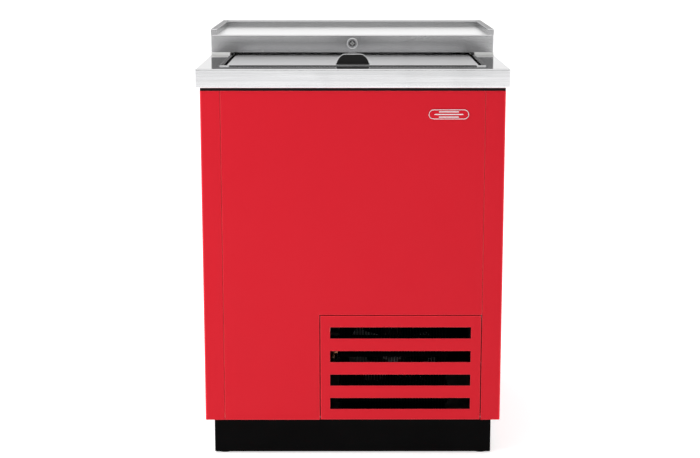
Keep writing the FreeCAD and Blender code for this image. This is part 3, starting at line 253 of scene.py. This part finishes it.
class Finish:
    """One procedural material: colour, roughness and relief, each driven by its own nodes."""

    def __init__(self, name, colour, roughness, metallic=0.0):
        self.material = bpy.data.materials.new(name)
        self.material.use_nodes = True
        self.tree = self.material.node_tree
        self.shader = self.tree.nodes["Principled BSDF"]
        self.shader.inputs["Metallic"].default_value = metallic
        self.place = self.add("ShaderNodeTexCoord").outputs["Object"]
        self.colour = colour
        self.rough = roughness
        self.normal = None
        self.edge = None

    def add(self, kind):
        return self.tree.nodes.new(kind)

    def link(self, source, target):
        self.tree.links.new(source, target)

    def put(self, value, socket):
        """Links a socket, or sets a colour or a number."""
        if isinstance(value, bpy.types.NodeSocket):
            self.link(value, socket)
        elif isinstance(value, tuple):
            socket.default_value = (*value, 1)
        else:
            socket.default_value = value

    def specular(self, level):
        self.shader.inputs["Specular IOR Level"].default_value = level

    def stretched(self, stretch):
        mapping = self.add("ShaderNodeMapping")
        mapping.inputs["Scale"].default_value = stretch
        self.link(self.place, mapping.inputs["Vector"])
        return mapping.outputs[0]

    def noise(self, scale, detail=3.0, stretch=(1, 1, 1), rough=0.55):
        """Cloudy pattern, 0 to 1; scale counts features per metre."""
        node = self.add("ShaderNodeTexNoise")
        node.inputs["Scale"].default_value = scale
        node.inputs["Detail"].default_value = detail
        node.inputs["Roughness"].default_value = rough
        self.link(self.stretched(stretch), node.inputs["Vector"])
        return node.outputs["Fac"]

    def cells(self, scale):
        """Crystals: a random grey for each cell."""
        node = self.add("ShaderNodeTexVoronoi")
        node.inputs["Scale"].default_value = scale
        self.link(self.stretched((1, 1, 1)), node.inputs["Vector"])
        split = self.add("ShaderNodeSeparateColor")
        self.link(node.outputs["Color"], split.inputs[0])
        return split.outputs[0]

    def spread(self, value, low, high, least=0.0, most=1.0):
        """Maps low to least and high to most."""
        node = self.add("ShaderNodeMapRange")
        node.inputs["From Min"].default_value = low
        node.inputs["From Max"].default_value = high
        node.inputs["To Min"].default_value = least
        node.inputs["To Max"].default_value = most
        self.link(value, node.inputs["Value"])
        return node.outputs[0]

    def patches(self, scale, detail, low, high, least=0.0, most=1.0, stretch=(1, 1, 1)):
        """Soft patches where the cloudy pattern passes from low to high."""
        return self.spread(self.noise(scale, detail, stretch), low, high, least, most)

    def times(self, first, second):
        node = self.add("ShaderNodeMath")
        node.operation = "MULTIPLY"
        self.put(first, node.inputs[0])
        self.put(second, node.inputs[1])
        return node.outputs[0]

    def tint(self, factor, colour):
        """Lays another colour over the base colour where factor is 1."""
        node = self.add("ShaderNodeMix")
        node.data_type = "RGBA"
        self.put(factor, node.inputs[0])
        self.put(self.colour, node.inputs[MIX_A])
        self.put(colour, node.inputs[MIX_B])
        self.colour = node.outputs[MIX_RESULT]

    def roughen(self, factor, roughness):
        node = self.add("ShaderNodeMix")
        self.put(factor, node.inputs[0])
        self.put(self.rough, node.inputs[MIX_FIRST])
        self.put(roughness, node.inputs[MIX_SECOND])
        self.rough = node.outputs[0]

    def face_normal(self):
        return self.add("ShaderNodeNewGeometry").outputs["Normal"]

    def round_edges(self, radius):
        """Softens sharp sheet edges for the light, and keeps a mask of them for wear and for painted
        edge highlights.
        """
        bevel = self.add("ShaderNodeBevel")
        bevel.samples = BEVEL_SAMPLES
        bevel.inputs["Radius"].default_value = radius
        self.normal = bevel.outputs[0]
        product = self.add("ShaderNodeVectorMath")
        product.operation = "DOT_PRODUCT"
        self.link(bevel.outputs[0], product.inputs[0])
        self.link(self.face_normal(), product.inputs[1])
        self.edge = self.spread(product.outputs["Value"], EDGE_FLAT, EDGE_SHARP)

    def rounding(self):
        """1 on the narrow rounded rims between flat faces, 0 on the flat faces."""
        level = self.add("ShaderNodeVectorMath")
        level.operation = "ABSOLUTE"
        self.link(self.face_normal(), level.inputs[0])
        split = self.add("ShaderNodeSeparateXYZ")
        self.link(level.outputs[0], split.inputs[0])
        largest = split.outputs[0]
        for axis in split.outputs[1:]:
            node = self.add("ShaderNodeMath")
            node.operation = "MAXIMUM"
            self.link(largest, node.inputs[0])
            self.link(axis, node.inputs[1])
            largest = node.outputs[0]
        return self.spread(largest, RIM_FLAT, RIM_ROUND)

    def along(self, axis):
        """Coordinate in metres."""
        split = self.add("ShaderNodeSeparateXYZ")
        self.link(self.place, split.inputs[0])
        return split.outputs[axis]

    def facing_up(self):
        """1 on level upper faces, 0 on upright ones."""
        split = self.add("ShaderNodeSeparateXYZ")
        self.link(self.face_normal(), split.inputs[0])
        return self.spread(split.outputs["Z"], LEVEL_START, LEVEL_FULL)

    def relief(self, height, distance, strength=1.0, sunk=False):
        """Raises the surface by the height, or sinks it."""
        bump = self.add("ShaderNodeBump")
        bump.invert = sunk
        bump.inputs["Distance"].default_value = distance
        bump.inputs["Strength"].default_value = strength
        self.link(height, bump.inputs["Height"])
        if self.normal is not None:
            self.link(self.normal, bump.inputs["Normal"])
        self.normal = bump.outputs[0]

    def done(self):
        self.put(self.colour, self.shader.inputs["Base Color"])
        self.put(self.rough, self.shader.inputs["Roughness"])
        self.link(self.normal, self.shader.inputs["Normal"])
        return self.material


def grey(level):
    return (level, level, level)


def scaled(colour, share):
    return tuple(min(1.0, share * part) for part in colour)


def red_paint():
    coat = Finish("red_paint", (0.66, 0.0125, 0.0255), roughness=0.34)
    coat.specular(0.1)
    coat.round_edges(radius=0.0022)
    coat.tint(coat.patches(scale=3.0, detail=4.0, low=0.35, high=0.7, most=0.25), (0.61, 0.01, 0.022))
    coat.tint(coat.patches(scale=900.0, detail=2.0, low=0.45, high=0.75, most=0.12), (0.7, 0.02, 0.034))
    # Lighter red along the edges, in patches: a painted highlight.
    edge_wear_and_highlight = coat.times(coat.edge, coat.patches(scale=60.0, detail=5.0, low=0.35, high=0.62, least=0.6))
    coat.tint(edge_wear_and_highlight, (0.9, 0.075, 0.09))
    # Rounded rims painted a lighter red: a painted highlight.
    coat.tint(coat.rounding(), (0.97, 0.045, 0.065))
    coat.roughen(coat.patches(scale=14.0, detail=6.0, low=0.35, high=0.7), 0.44)
    coat.relief(coat.noise(scale=420.0, detail=2.0), distance=0.00006, strength=0.5)
    return coat.done()


GRAIN_ALONG_X = (0.02, 1.0, 1.0)
BANDS_ACROSS_X = (1.0, 0.03, 0.03)
SMEAR_ALONG_X = (1.0, 0.02, 0.01)
SMEAR_ACROSS_X = (0.02, 1.0, 1.0)
STEEL_SHADE = 0.86
STEEL_BAND = 0.8
STEEL_PAINTED_EDGE_HIGHLIGHT = grey(0.95)
STEEL_ANISOTROPY = 0.6
SMUDGE_ROUGHNESS = 0.08
LEVEL_GRAIN = 0.15


def steel(name, colour, low, high, top_roughness=None, painted_top_shading=None, crown=None,
          grazing=1.0, smear=SMEAR_ALONG_X):
    """Brushed sheet, its grain along X, its roughness from low to high."""
    coat = Finish(name, colour, roughness=low, metallic=1.0)
    coat.round_edges(radius=0.001)
    lines = coat.noise(scale=120.0, detail=4.0, stretch=GRAIN_ALONG_X, rough=0.7)
    shade = scaled(colour, STEEL_SHADE)
    coat.tint(coat.spread(lines, low=0.3, high=0.7, most=0.5), shade)
    coat.tint(coat.patches(scale=5.0, detail=3.0, low=0.4, high=0.75, most=0.3), shade)
    bands = coat.patches(scale=7.0, detail=2.0, low=0.5, high=0.75, most=0.45, stretch=BANDS_ACROSS_X)
    coat.tint(bands, scaled(colour, STEEL_BAND))
    # Level upper faces take another colour: painted shading on the tops, lighter or darker per finish.
    if painted_top_shading:
        coat.tint(coat.facing_up(), painted_top_shading)
    # Edges painted lighter: a painted highlight.
    coat.tint(coat.times(coat.edge, 0.7), STEEL_PAINTED_EDGE_HIGHLIGHT)
    coat.roughen(coat.spread(lines, low=0.3, high=0.75), high)
    if top_roughness:
        coat.roughen(coat.facing_up(), top_roughness)
    smudges = coat.times(coat.patches(scale=18.0, detail=6.0, low=0.55, high=0.8), 0.3)
    coat.roughen(smudges, high + SMUDGE_ROUGHNESS)
    shallower = coat.spread(coat.facing_up(), low=0.0, high=1.0, least=1.0, most=LEVEL_GRAIN)
    coat.relief(coat.times(lines, shallower), distance=0.00004, strength=0.35)
    if crown:
        crown(coat)
    coat.shader.inputs["Specular Tint"].default_value = (*grey(grazing), 1)
    coat.shader.inputs["Anisotropic"].default_value = STEEL_ANISOTROPY
    tangent = coat.add("ShaderNodeCombineXYZ")
    for socket, share in zip(tangent.inputs, smear):
        socket.default_value = share
    coat.link(tangent.outputs[0], coat.shader.inputs["Tangent"])
    return coat.done()


CROWN_START = -0.1
CROWN_DROP = 0.005
BUCKLE_START = -0.02
BUCKLE_FULL = -0.16
BUCKLE_STRETCH = (0.5, 2.0, 1.0)
BUCKLE_DEPTH = 0.0036
POLISH_START = -0.1
POLISH_FULL = -0.03
POLISH_ROUGHNESS = 0.07


def crown_the_lid(coat):
    """Lets the lid's skin fall toward its front edge, buckles it softly and polishes its rear."""
    front_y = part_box("lid_shell")[0].y
    depth = coat.along("Y")
    front = coat.spread(depth, CROWN_START, front_y)
    coat.relief(coat.times(front, front), distance=CROWN_DROP, sunk=True)
    buckled = coat.spread(depth, BUCKLE_START, BUCKLE_FULL, least=0.1)
    buckles = coat.times(coat.noise(scale=6.0, detail=2.0, stretch=BUCKLE_STRETCH), buckled)
    coat.relief(buckles, distance=BUCKLE_DEPTH)
    coat.roughen(coat.spread(depth, POLISH_START, POLISH_FULL), POLISH_ROUGHNESS)


def galvanised(name, colour, metallic):
    coat = Finish(name, colour, roughness=0.36, metallic=metallic)
    coat.round_edges(radius=0.0008)
    crystal = coat.cells(scale=110.0)
    coat.tint(coat.spread(crystal, low=0.1, high=0.9, most=0.7), scaled(colour, 1.35))
    coat.tint(coat.patches(scale=6.0, detail=4.0, low=0.5, high=0.8, most=0.35), scaled(colour, 0.8))
    # Edges painted lighter: a painted highlight.
    coat.tint(coat.times(coat.edge, 0.5), (0.8, 0.81, 0.82))
    coat.roughen(coat.spread(crystal, low=0.0, high=1.0), 0.52)
    coat.relief(crystal, distance=0.00004, strength=0.3)
    return coat.done()


def chrome():
    coat = Finish("chrome", (0.84, 0.84, 0.86), roughness=0.07, metallic=1.0)
    coat.round_edges(radius=0.0004)
    coat.tint(coat.patches(scale=90.0, detail=3.0, low=0.5, high=0.8, most=0.3), (0.7, 0.7, 0.72))
    coat.roughen(coat.patches(scale=160.0, detail=5.0, low=0.5, high=0.8), 0.2)
    coat.relief(coat.noise(scale=240.0, detail=2.0), distance=0.00002, strength=0.2)
    return coat.done()


def nickel():
    coat = Finish("nickel", (0.86, 0.86, 0.87), roughness=0.22, metallic=0.45)
    coat.round_edges(radius=0.0003)
    coat.tint(coat.patches(scale=120.0, detail=3.0, low=0.5, high=0.8, most=0.4), (0.72, 0.72, 0.73))
    coat.roughen(coat.patches(scale=200.0, detail=5.0, low=0.5, high=0.8), 0.34)
    coat.relief(coat.noise(scale=300.0, detail=2.0), distance=0.00002, strength=0.2)
    return coat.done()


def dark_metal():
    coat = Finish("dark_metal", (0.004, 0.004, 0.0045), roughness=0.35)
    coat.specular(0.12)
    coat.round_edges(radius=0.0004)
    edge_wear_and_highlight = coat.times(coat.edge, coat.patches(scale=300.0, detail=4.0, low=0.3, high=0.6))
    coat.tint(edge_wear_and_highlight, (0.06, 0.06, 0.063))
    coat.roughen(coat.patches(scale=200.0, detail=4.0, low=0.4, high=0.7), 0.45)
    coat.relief(coat.noise(scale=700.0, detail=2.0), distance=0.00003, strength=0.3)
    return coat.done()


def black_paint(name, wear):
    coat = Finish(name, (0.0012, 0.0012, 0.0013), roughness=0.5)
    coat.specular(0.04)
    coat.round_edges(radius=0.0009)
    dusty = coat.patches(scale=5.0, detail=5.0, low=0.45, high=0.75, most=0.5)
    coat.tint(dusty, (0.0022, 0.0022, 0.0023))
    edge_wear_and_highlight = coat.times(coat.edge, coat.patches(scale=80.0, detail=5.0, low=0.45, high=0.62, most=0.8))
    coat.tint(edge_wear_and_highlight, grey(wear))
    coat.roughen(coat.patches(scale=20.0, detail=6.0, low=0.4, high=0.7), 0.62)
    coat.relief(coat.noise(scale=500.0, detail=3.0), distance=0.00008, strength=0.5)
    return coat.done()


def plastic(name, colour, shade, roughness, shine=0.35):
    coat = Finish(name, colour, roughness=roughness)
    coat.specular(shine)
    coat.round_edges(radius=0.0006)
    coat.tint(coat.patches(scale=25.0, detail=5.0, low=0.4, high=0.75, most=0.6), shade)
    # Edges painted lighter: a painted highlight.
    light = tuple(min(1.0, 1.6 * part + 0.02) for part in colour)
    coat.tint(coat.times(coat.edge, 0.4), light)
    coat.roughen(coat.patches(scale=40.0, detail=5.0, low=0.4, high=0.7), roughness + 0.14)
    coat.relief(coat.noise(scale=900.0, detail=2.0), distance=0.00005, strength=0.4)
    return coat.done()


def foam():
    coat = Finish("foam", (0.74, 0.62, 0.36), roughness=0.85)
    coat.specular(0.15)
    coat.tint(coat.patches(scale=16.0, detail=6.0, low=0.4, high=0.7, most=0.7), (0.66, 0.5, 0.24))
    coat.tint(coat.spread(coat.cells(scale=500.0), low=0.2, high=1.0, most=0.2), (0.85, 0.76, 0.5))
    coat.roughen(coat.patches(scale=60.0, detail=3.0, low=0.4, high=0.7), 0.95)
    coat.relief(coat.noise(scale=260.0, detail=5.0), distance=0.0006, strength=0.6)
    return coat.done()


def rubber():
    coat = Finish("rubber", grey(0.014), roughness=0.68)
    coat.specular(0.25)
    coat.round_edges(radius=0.0008)
    coat.tint(coat.patches(scale=30.0, detail=6.0, low=0.45, high=0.75, most=0.6), (0.035, 0.034, 0.033))
    coat.roughen(coat.patches(scale=90.0, detail=4.0, low=0.4, high=0.7), 0.82)
    coat.relief(coat.noise(scale=1100.0, detail=3.0), distance=0.00007, strength=0.5)
    return coat.done()


def bare_metal(name, colour, shade, roughness):
    coat = Finish(name, colour, roughness=roughness, metallic=1.0)
    coat.tint(coat.patches(scale=22.0, detail=5.0, low=0.42, high=0.72, most=0.7), shade)
    coat.roughen(coat.patches(scale=70.0, detail=5.0, low=0.4, high=0.7), roughness + 0.2)
    coat.relief(coat.noise(scale=500.0, detail=3.0), distance=0.00004, strength=0.4)
    return coat.done()


def sheet_finishes():
    return {
        "red_paint": red_paint(),
        "black_paint": black_paint("black_paint", wear=0.02),
        # Black coat for the condenser coil, also a painted shade behind the grille slots.
        "coil_paint_and_shade": black_paint("coil_paint_and_shade", wear=0.003),
        "stainless": steel(
            "stainless", (0.8, 0.8, 0.81), low=0.12, high=0.2, top_roughness=0.05, grazing=0.82,
        ),
        # Rail tops painted darker grey: painted shade.
        "rail_steel": steel(
            "rail_steel", (0.74, 0.74, 0.75), low=0.2, high=0.3, top_roughness=0.3,
            painted_top_shading=(0.42, 0.42, 0.43), grazing=0.5,
        ),
        # Shelf tops painted near white: a painted highlight.
        "shelf_steel": steel(
            "shelf_steel", (0.76, 0.76, 0.77), low=0.2, high=0.3, top_roughness=0.3,
            painted_top_shading=grey(0.95),
        ),
        "lid_steel": steel(
            "lid_steel", (0.69, 0.69, 0.7), low=0.28, high=0.36, crown=crown_the_lid,
            grazing=0.95, smear=SMEAR_ACROSS_X,
        ),
        "galvanised": galvanised("galvanised", (0.5, 0.52, 0.53), metallic=0.55),
        # Lighter, barely metallic copy of galvanised steel: the liner's steel with painted light for the
        # deep tub.
        "liner_steel_painted_light": galvanised("liner_steel_painted_light", (0.7, 0.72, 0.73), metallic=0.1),
    }


def small_part_finishes():
    return {
        "chrome": chrome(),
        "nickel": nickel(),
        "lock_dark": dark_metal(),
        "aluminium_fin": bare_metal(
            "aluminium_fin", (0.72, 0.73, 0.74), shade=(0.58, 0.59, 0.6), roughness=0.3,
        ),
        "copper": bare_metal(
            "copper", (0.72, 0.33, 0.18), shade=(0.42, 0.2, 0.12), roughness=0.24,
        ),
        "zinc_wire": bare_metal(
            "zinc_wire", (0.7, 0.71, 0.73), shade=(0.55, 0.56, 0.57), roughness=0.28,
        ),
        "black_plastic": plastic(
            "black_plastic", (0.004, 0.004, 0.0042), shade=(0.007, 0.007, 0.0072),
            roughness=0.5, shine=0.12,
        ),
        "gloss_black_plastic": plastic(
            "gloss_black_plastic", grey(0.008), shade=grey(0.012), roughness=0.3, shine=0.3,
        ),
        "white_plastic": plastic(
            "white_plastic", (0.9, 0.9, 0.89), shade=(0.84, 0.835, 0.81), roughness=0.4,
        ),
        "foam": foam(),
        "rubber": rubber(),
    }


# Nodes that don't take the finish of their material slot.
OWN_FINISH = {
    # The condenser coil's black coat also stands in for the shade behind the grille.
    "condenser_coil": "coil_paint_and_shade",
    # The tub's liner and cover take a lighter copy of galvanised steel: painted light in the deep tub.
    "well_liner": "liner_steel_painted_light",
    "evaporator_cover": "liner_steel_painted_light",
    "lid_shell": "lid_steel",
    "shelf_box": "shelf_steel",
    "shelf_rail": "rail_steel",
}


def dress_nodes(finishes):
    for name, node in nodes.items():
        finish = finishes[OWN_FINISH.get(name, slot_of[name])]
        if not node.material_slots:
            node.data.materials.append(finish)
        for material_slot in node.material_slots:
            material_slot.material = finish


# Mesh helpers

SHARP_ANGLE = math.radians(38)
# Keeps a very sharp corner of an outline from moving too far.
LEAST_REACH = 0.2


def finish_piece(name, grid, finish, body, replaced=()):
    """Turns a bmesh into a smooth-shaded piece that rides on a body."""
    bmesh.ops.recalc_face_normals(grid, faces=grid.faces)
    mesh = bpy.data.meshes.new(name)
    grid.to_mesh(mesh)
    grid.free()
    mesh.materials.append(finish)
    mesh.shade_smooth()
    mesh.set_sharp_from_angle(angle=SHARP_ANGLE)
    piece = link_object(name, mesh)
    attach(piece, body)
    if replaced:
        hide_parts(*replaced)


def loft(grid, rings, closed_loop=False):
    """Skins a list of rings of points, all of one length, and caps its ends or joins them."""
    rows = [[grid.verts.new(point) for point in ring] for ring in rings]
    count = len(rows[0])
    pairs = list(zip(rows, rows[1:]))
    if closed_loop:
        pairs.append((rows[-1], rows[0]))
    for low, high in pairs:
        for index in range(count):
            after = (index + 1) % count
            grid.faces.new((low[index], low[after], high[after], high[index]))
    if not closed_loop:
        grid.faces.new(rows[0])
        grid.faces.new(rows[-1])


def arc(start, end, steps):
    """Evenly spaced values, both ends included."""
    return [start + (end - start) * index / steps for index in range(steps + 1)]


def turned(grid, profile, centre, steps=48, closed_loop=False):
    """Lathe along Y: the profile is a list of (radius, y)."""
    x, z = centre
    angles = arc(0.0, 2 * math.pi, steps)[:-1]
    directions = [(math.cos(angle), math.sin(angle)) for angle in angles]
    rings = []
    for radius, y in profile:
        rings.append([(x + radius * across, y, z + radius * up) for across, up in directions])
    loft(grid, rings, closed_loop=closed_loop)


def inset_outline(outline, distance):
    """Moves each corner of a closed counter-clockwise outline inward by a distance."""
    result = []
    count = len(outline)
    for index, point in enumerate(outline):
        before = Vector(outline[index - 1])
        after = Vector(outline[(index + 1) % count])
        here = Vector(point)
        first = (here - before).normalized()
        second = (after - here).normalized()
        inward = Vector((-first.y - second.y, first.x + second.x))
        reach = inward.length_squared / 2
        result.append(tuple(here + inward * (distance / max(reach, LEAST_REACH))))
    return result


def upright(outline, y):
    """Stands an outline in X and Z at a depth."""
    return [(x, y, z) for x, z in outline]


def slab(grid, outline, front, back, radius, steps=4):
    """Plate standing on its edge, outline in X and Z, with its front and back rims rounded."""
    rings = []
    for angle in arc(0.0, QUARTER_TURN, steps):
        ring = inset_outline(outline, radius * (1 - math.sin(angle)))
        y = front + radius * (1 - math.cos(angle))
        rings.append(upright(ring, y))
    rings += [[(x, front + back - y, z) for x, y, z in ring] for ring in reversed(rings)]
    loft(grid, rings)


def pill(centre, length, height, steps=10):
    """Outline with round ends, counter-clockwise."""
    x, z = centre
    radius = height / 2
    reach = length / 2 - radius
    points = []
    for middle, start in ((x + reach, -QUARTER_TURN), (x - reach, QUARTER_TURN)):
        for angle in arc(start, start + math.pi, steps):
            points.append((middle + radius * math.cos(angle), z + radius * math.sin(angle)))
    return points


def middle_of(low, high):
    """Centre of a box in X and Z."""
    return ((low.x + high.x) / 2, (low.z + high.z) / 2)


# Pull handle

HANDLE_HALF_W = 0.035
HANDLE_CORNER = 0.0195
HANDLE_LEAN = 0.45
HANDLE_STEPS = 14
HANDLE_FRONT_STEP = 0.003
HANDLE_BACK_STEP = 0.001
HANDLE_EDGE_R = 0.0012
FOOT_HALF_W = 0.0315
FOOT_STEPS = 6
# Rounded rim of the foot: height over the lid, and how far it is drawn in there.
FOOT_RIM = ((0.0, 0.0), (0.002, 0.0), (0.0026, 0.0003), (0.003, 0.0012))
TRIM_THICK = 0.0018
TRIM_PROUD = 0.0004
# Middle of the wire, as a share of the way from the inner arch to the outer one.
TRIM_MIDDLE = 0.45
TRIM_STEPS = 12


def half_moon(half_width, low, high, corner):
    """Arch with a level foot and a level crown, its flanks leaning inward, counter-clockwise."""
    across = corner / math.cos(HANDLE_LEAN)
    upward = (high - low) / (1 - math.sin(HANDLE_LEAN))
    right = []
    for angle in arc(HANDLE_LEAN, QUARTER_TURN, HANDLE_STEPS):
        x = half_width - corner + across * math.cos(angle)
        right.append((x, high - upward * (1 - math.sin(angle))))
    return right + [(-x, z) for x, z in reversed(right)]


def make_handle(finishes):
    """Black half-moon with a bright wire trim round its arch, on a black foot."""
    low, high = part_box("lid_handle")
    front = low.y + HANDLE_FRONT_STEP
    back = high.y - HANDLE_BACK_STEP
    outline = half_moon(HANDLE_HALF_W, low.z, high.z, HANDLE_CORNER)
    inner = half_moon(
        HANDLE_HALF_W - TRIM_THICK, low.z, high.z - TRIM_THICK, HANDLE_CORNER - TRIM_THICK
    )
    grid = bmesh.new()
    slab(grid, inner, front, back, HANDLE_EDGE_R)
    foot = pill((0.0, (low.y + high.y) / 2), 2 * FOOT_HALF_W, high.y - low.y, FOOT_STEPS)
    rings = []
    for lift, inset in FOOT_RIM:
        rings.append([(x, y, low.z + lift) for x, y in inset_outline(foot, inset)])
    loft(grid, rings)
    black = finishes["gloss_black_plastic"]
    finish_piece("pull_handle", grid, black, "lid", ("lid_handle",))
    make_handle_trim(finishes, outline, inner, front, back)


def make_handle_trim(finishes, outline, inner, front, back):
    """Wire of oval section that wraps the arch."""
    middle = (front + back) / 2
    half_depth = (back - front) / 2 + TRIM_PROUD
    rings = []
    for (x, z), (inner_x, inner_z) in zip(outline, inner):
        outward = Vector((x - inner_x, 0.0, z - inner_z))
        centre = Vector((inner_x, middle, inner_z)) + outward * TRIM_MIDDLE
        half = outward.length * (1 - TRIM_MIDDLE)
        outward.normalize()
        ring = []
        for angle in arc(0.0, 2 * math.pi, TRIM_STEPS)[:-1]:
            depth = Vector((0, half_depth * math.sin(angle), 0))
            ring.append(centre + outward * (half * math.cos(angle)) + depth)
        rings.append(ring)
    grid = bmesh.new()
    loft(grid, rings)
    finish_piece("handle_trim", grid, finishes["stainless"], "lid")


# Front seal, also a painted shadow in the gap

SEAL_THICK = 0.0014
SEAL_DROP = 0.0006
SEAL_END = 0.004
SEAL_CLEAR = 0.00005
SEAL_EDGE_R = 0.0004


def make_front_seal_and_gap_shadow(finishes):
    """Rubber wiper on the lid's front face, in the gap before the countertop; its black also stands in
    for the gap's shadow.
    """
    low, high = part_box("lid_shell")
    left, right = low.x + SEAL_END, high.x - SEAL_END
    bottom, top = low.z + SEAL_END, high.z - SEAL_DROP
    outline = [(right, bottom), (right, top), (left, top), (left, bottom)]
    grid = bmesh.new()
    slab(grid, outline, low.y - SEAL_THICK, low.y - SEAL_CLEAR, SEAL_EDGE_R)
    finish_piece("lid_front_seal_and_gap_shadow", grid, finishes["rubber"], "lid")


# Badge

BADGE_RIM = 0.0017
BADGE_RIM_STEPS = 8
BADGE_EDGE = 0.0007
BADGE_BULGE = 0.0013
BAR_HEIGHT = 0.0022
BAR_PROUD = 0.0019
BAR_SINK = 0.0002
BAR_EDGE_R = 0.0007
BAR_PITCH = 0.0052
# Bars: steps up from the middle, and share of the badge's length.
BADGE_BARS = ((1, 0.5), (0, 0.72), (-1, 0.5))
# Field of the badge: inset from the outline, and height over the panel.
BADGE_FIELD = ((0.6 * BADGE_RIM, 0.0), (0.6 * BADGE_RIM, 0.0007), (0.004, 0.001), (0.008, 0.0011))


def make_badge(finishes):
    """Plain rounded badge: a bright rim, three bright bars and a red field."""
    low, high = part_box("nameplate")
    x, z = middle_of(low, high)
    length = high.x - low.x
    panel = high.y
    outline = pill((x, z), length, high.z - low.z)
    rings = []
    for angle in arc(0.0, math.pi, BADGE_RIM_STEPS):
        ring = inset_outline(outline, BADGE_RIM / 2 * (1 - math.cos(angle)))
        y = panel - BADGE_EDGE - BADGE_BULGE * math.sin(angle)
        rings.append(upright(ring, y))
    rings.append(upright(inset_outline(outline, BADGE_RIM), panel))
    rings.append(upright(outline, panel))
    grid = bmesh.new()
    loft(grid, rings, closed_loop=True)
    for steps_up, share in BADGE_BARS:
        bar = pill((x, z + steps_up * BAR_PITCH), length * share, BAR_HEIGHT, steps=5)
        slab(grid, bar, panel - BAR_PROUD, panel - BAR_SINK, BAR_EDGE_R, steps=3)
    finish_piece("badge_trim", grid, finishes["chrome"], "cabinet", ("nameplate",))
    rings = []
    for inset, height in BADGE_FIELD:
        rings.append(upright(inset_outline(outline, inset), panel - height))
    grid = bmesh.new()
    loft(grid, rings)
    finish_piece("badge_field", grid, finishes["red_paint"], "cabinet")


# Lock

BEZEL_R = 0.012
BEZEL_STEPS = 8
BEZEL_BULGE = 0.0008
THROAT_R = 0.0096
THROAT_DEPTH = 0.0012
BARREL_R = 0.0095
BORE_R = 0.0073
BORE_DEPTH = 0.0016
RECESS_R = 0.0095
# Dark ring between bezel and plug, painted shade in the throat: radius, and depth behind the bezel's
# front.
RECESS = ((BORE_R, 0.0019), (RECESS_R, 0.0009), (RECESS_R, 0.0012), (BORE_R, 0.0022))
PLUG_R = 0.00725
PLUG_TAIL_R = 0.003
PLUG_TAIL_GAP = 0.0008
# Face of the plug with its centre hole: radius, and depth behind the face.
PLUG_FACE = (
    (0.0004, 0.0012),
    (0.0016, 0.0012),
    (0.0018, 0.0004),
    (0.0066, 0.0001),
    (PLUG_R, 0.0006),
)
PIN_COUNT = 4
PIN_R = 0.0017
PIN_RING_R = 0.0031
PIN_FOOT = 0.0006
PIN_START = 0.0002
PIN_HEIGHT = 0.0012
PIN_SIDES = 16
PIN_STEPS = 5
PIN_TOP = 0.95 * QUARTER_TURN


def make_bezel(finishes, centre, front, back):
    """Bright ring proud of the shelf's face, with the lock's barrel behind it."""
    shelf_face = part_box("shelf_box")[0].y
    middle = (BEZEL_R + THROAT_R) / 2
    half = (BEZEL_R - THROAT_R) / 2
    profile = [(THROAT_R, front + THROAT_DEPTH)]
    for angle in arc(0.0, math.pi, BEZEL_STEPS):
        y = front + BEZEL_BULGE * (1 - math.sin(angle))
        profile.append((middle - half * math.cos(angle), y))
    profile += [(BEZEL_R, shelf_face), (BARREL_R, shelf_face), (BARREL_R, back)]
    profile += [(BORE_R, back), (BORE_R, front + BORE_DEPTH)]
    grid = bmesh.new()
    turned(grid, profile, centre, closed_loop=True)
    finish_piece("lock_bezel", grid, finishes["nickel"], "cabinet", ("lock_body",))


def make_recess(finishes, centre, front):
    """Dark ring between the bezel and the plug: painted shade in the lock's throat."""
    grid = bmesh.new()
    profile = [(radius, front + depth) for radius, depth in RECESS]
    turned(grid, profile, centre, closed_loop=True)
    finish_piece("lock_recess", grid, finishes["lock_dark"], "cabinet")


def make_plug(finishes, centre, face, back):
    """Plug with its tail, which turns with the lock's core."""
    tail_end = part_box("lock_plug")[1].y
    shoulder = back + PLUG_TAIL_GAP
    profile = [(radius, face + depth) for radius, depth in PLUG_FACE]
    profile += [(PLUG_R, shoulder), (PLUG_TAIL_R, shoulder), (PLUG_TAIL_R, tail_end)]
    grid = bmesh.new()
    turned(grid, profile, centre)
    dark = finishes["lock_dark"]
    finish_piece("lock_cylinder", grid, dark, "lock_core", ("lock_plug",))


def make_pins(finishes, centre, face):
    """Domed pins in a ring round the centre of the plug."""
    dome = [(PIN_R, face + PIN_FOOT)]
    for lift in arc(0.0, PIN_TOP, PIN_STEPS):
        dome.append((PIN_R * math.cos(lift), face + PIN_START - PIN_HEIGHT * math.sin(lift)))
    x, z = centre
    grid = bmesh.new()
    for index in range(PIN_COUNT):
        angle = 2 * math.pi * index / PIN_COUNT
        place = (x + PIN_RING_R * math.cos(angle), z + PIN_RING_R * math.sin(angle))
        turned(grid, dome, place, steps=PIN_SIDES)
    finish_piece("lock_pins", grid, finishes["nickel"], "lock_core")


def make_lock(finishes):
    low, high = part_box("lock_body")
    centre = middle_of(low, high)
    face = low.y + THROAT_DEPTH
    make_bezel(finishes, centre, low.y, high.y)
    make_recess(finishes, centre, low.y)
    make_plug(finishes, centre, face, high.y)
    make_pins(finishes, centre, face)


make_camera()
make_floor()
make_sky()
make_lights()
set_view()
finishes = {**sheet_finishes(), **small_part_finishes()}
dress_nodes(finishes)
make_handle(finishes)
make_front_seal_and_gap_shadow(finishes)
make_badge(finishes)
make_lock(finishes)
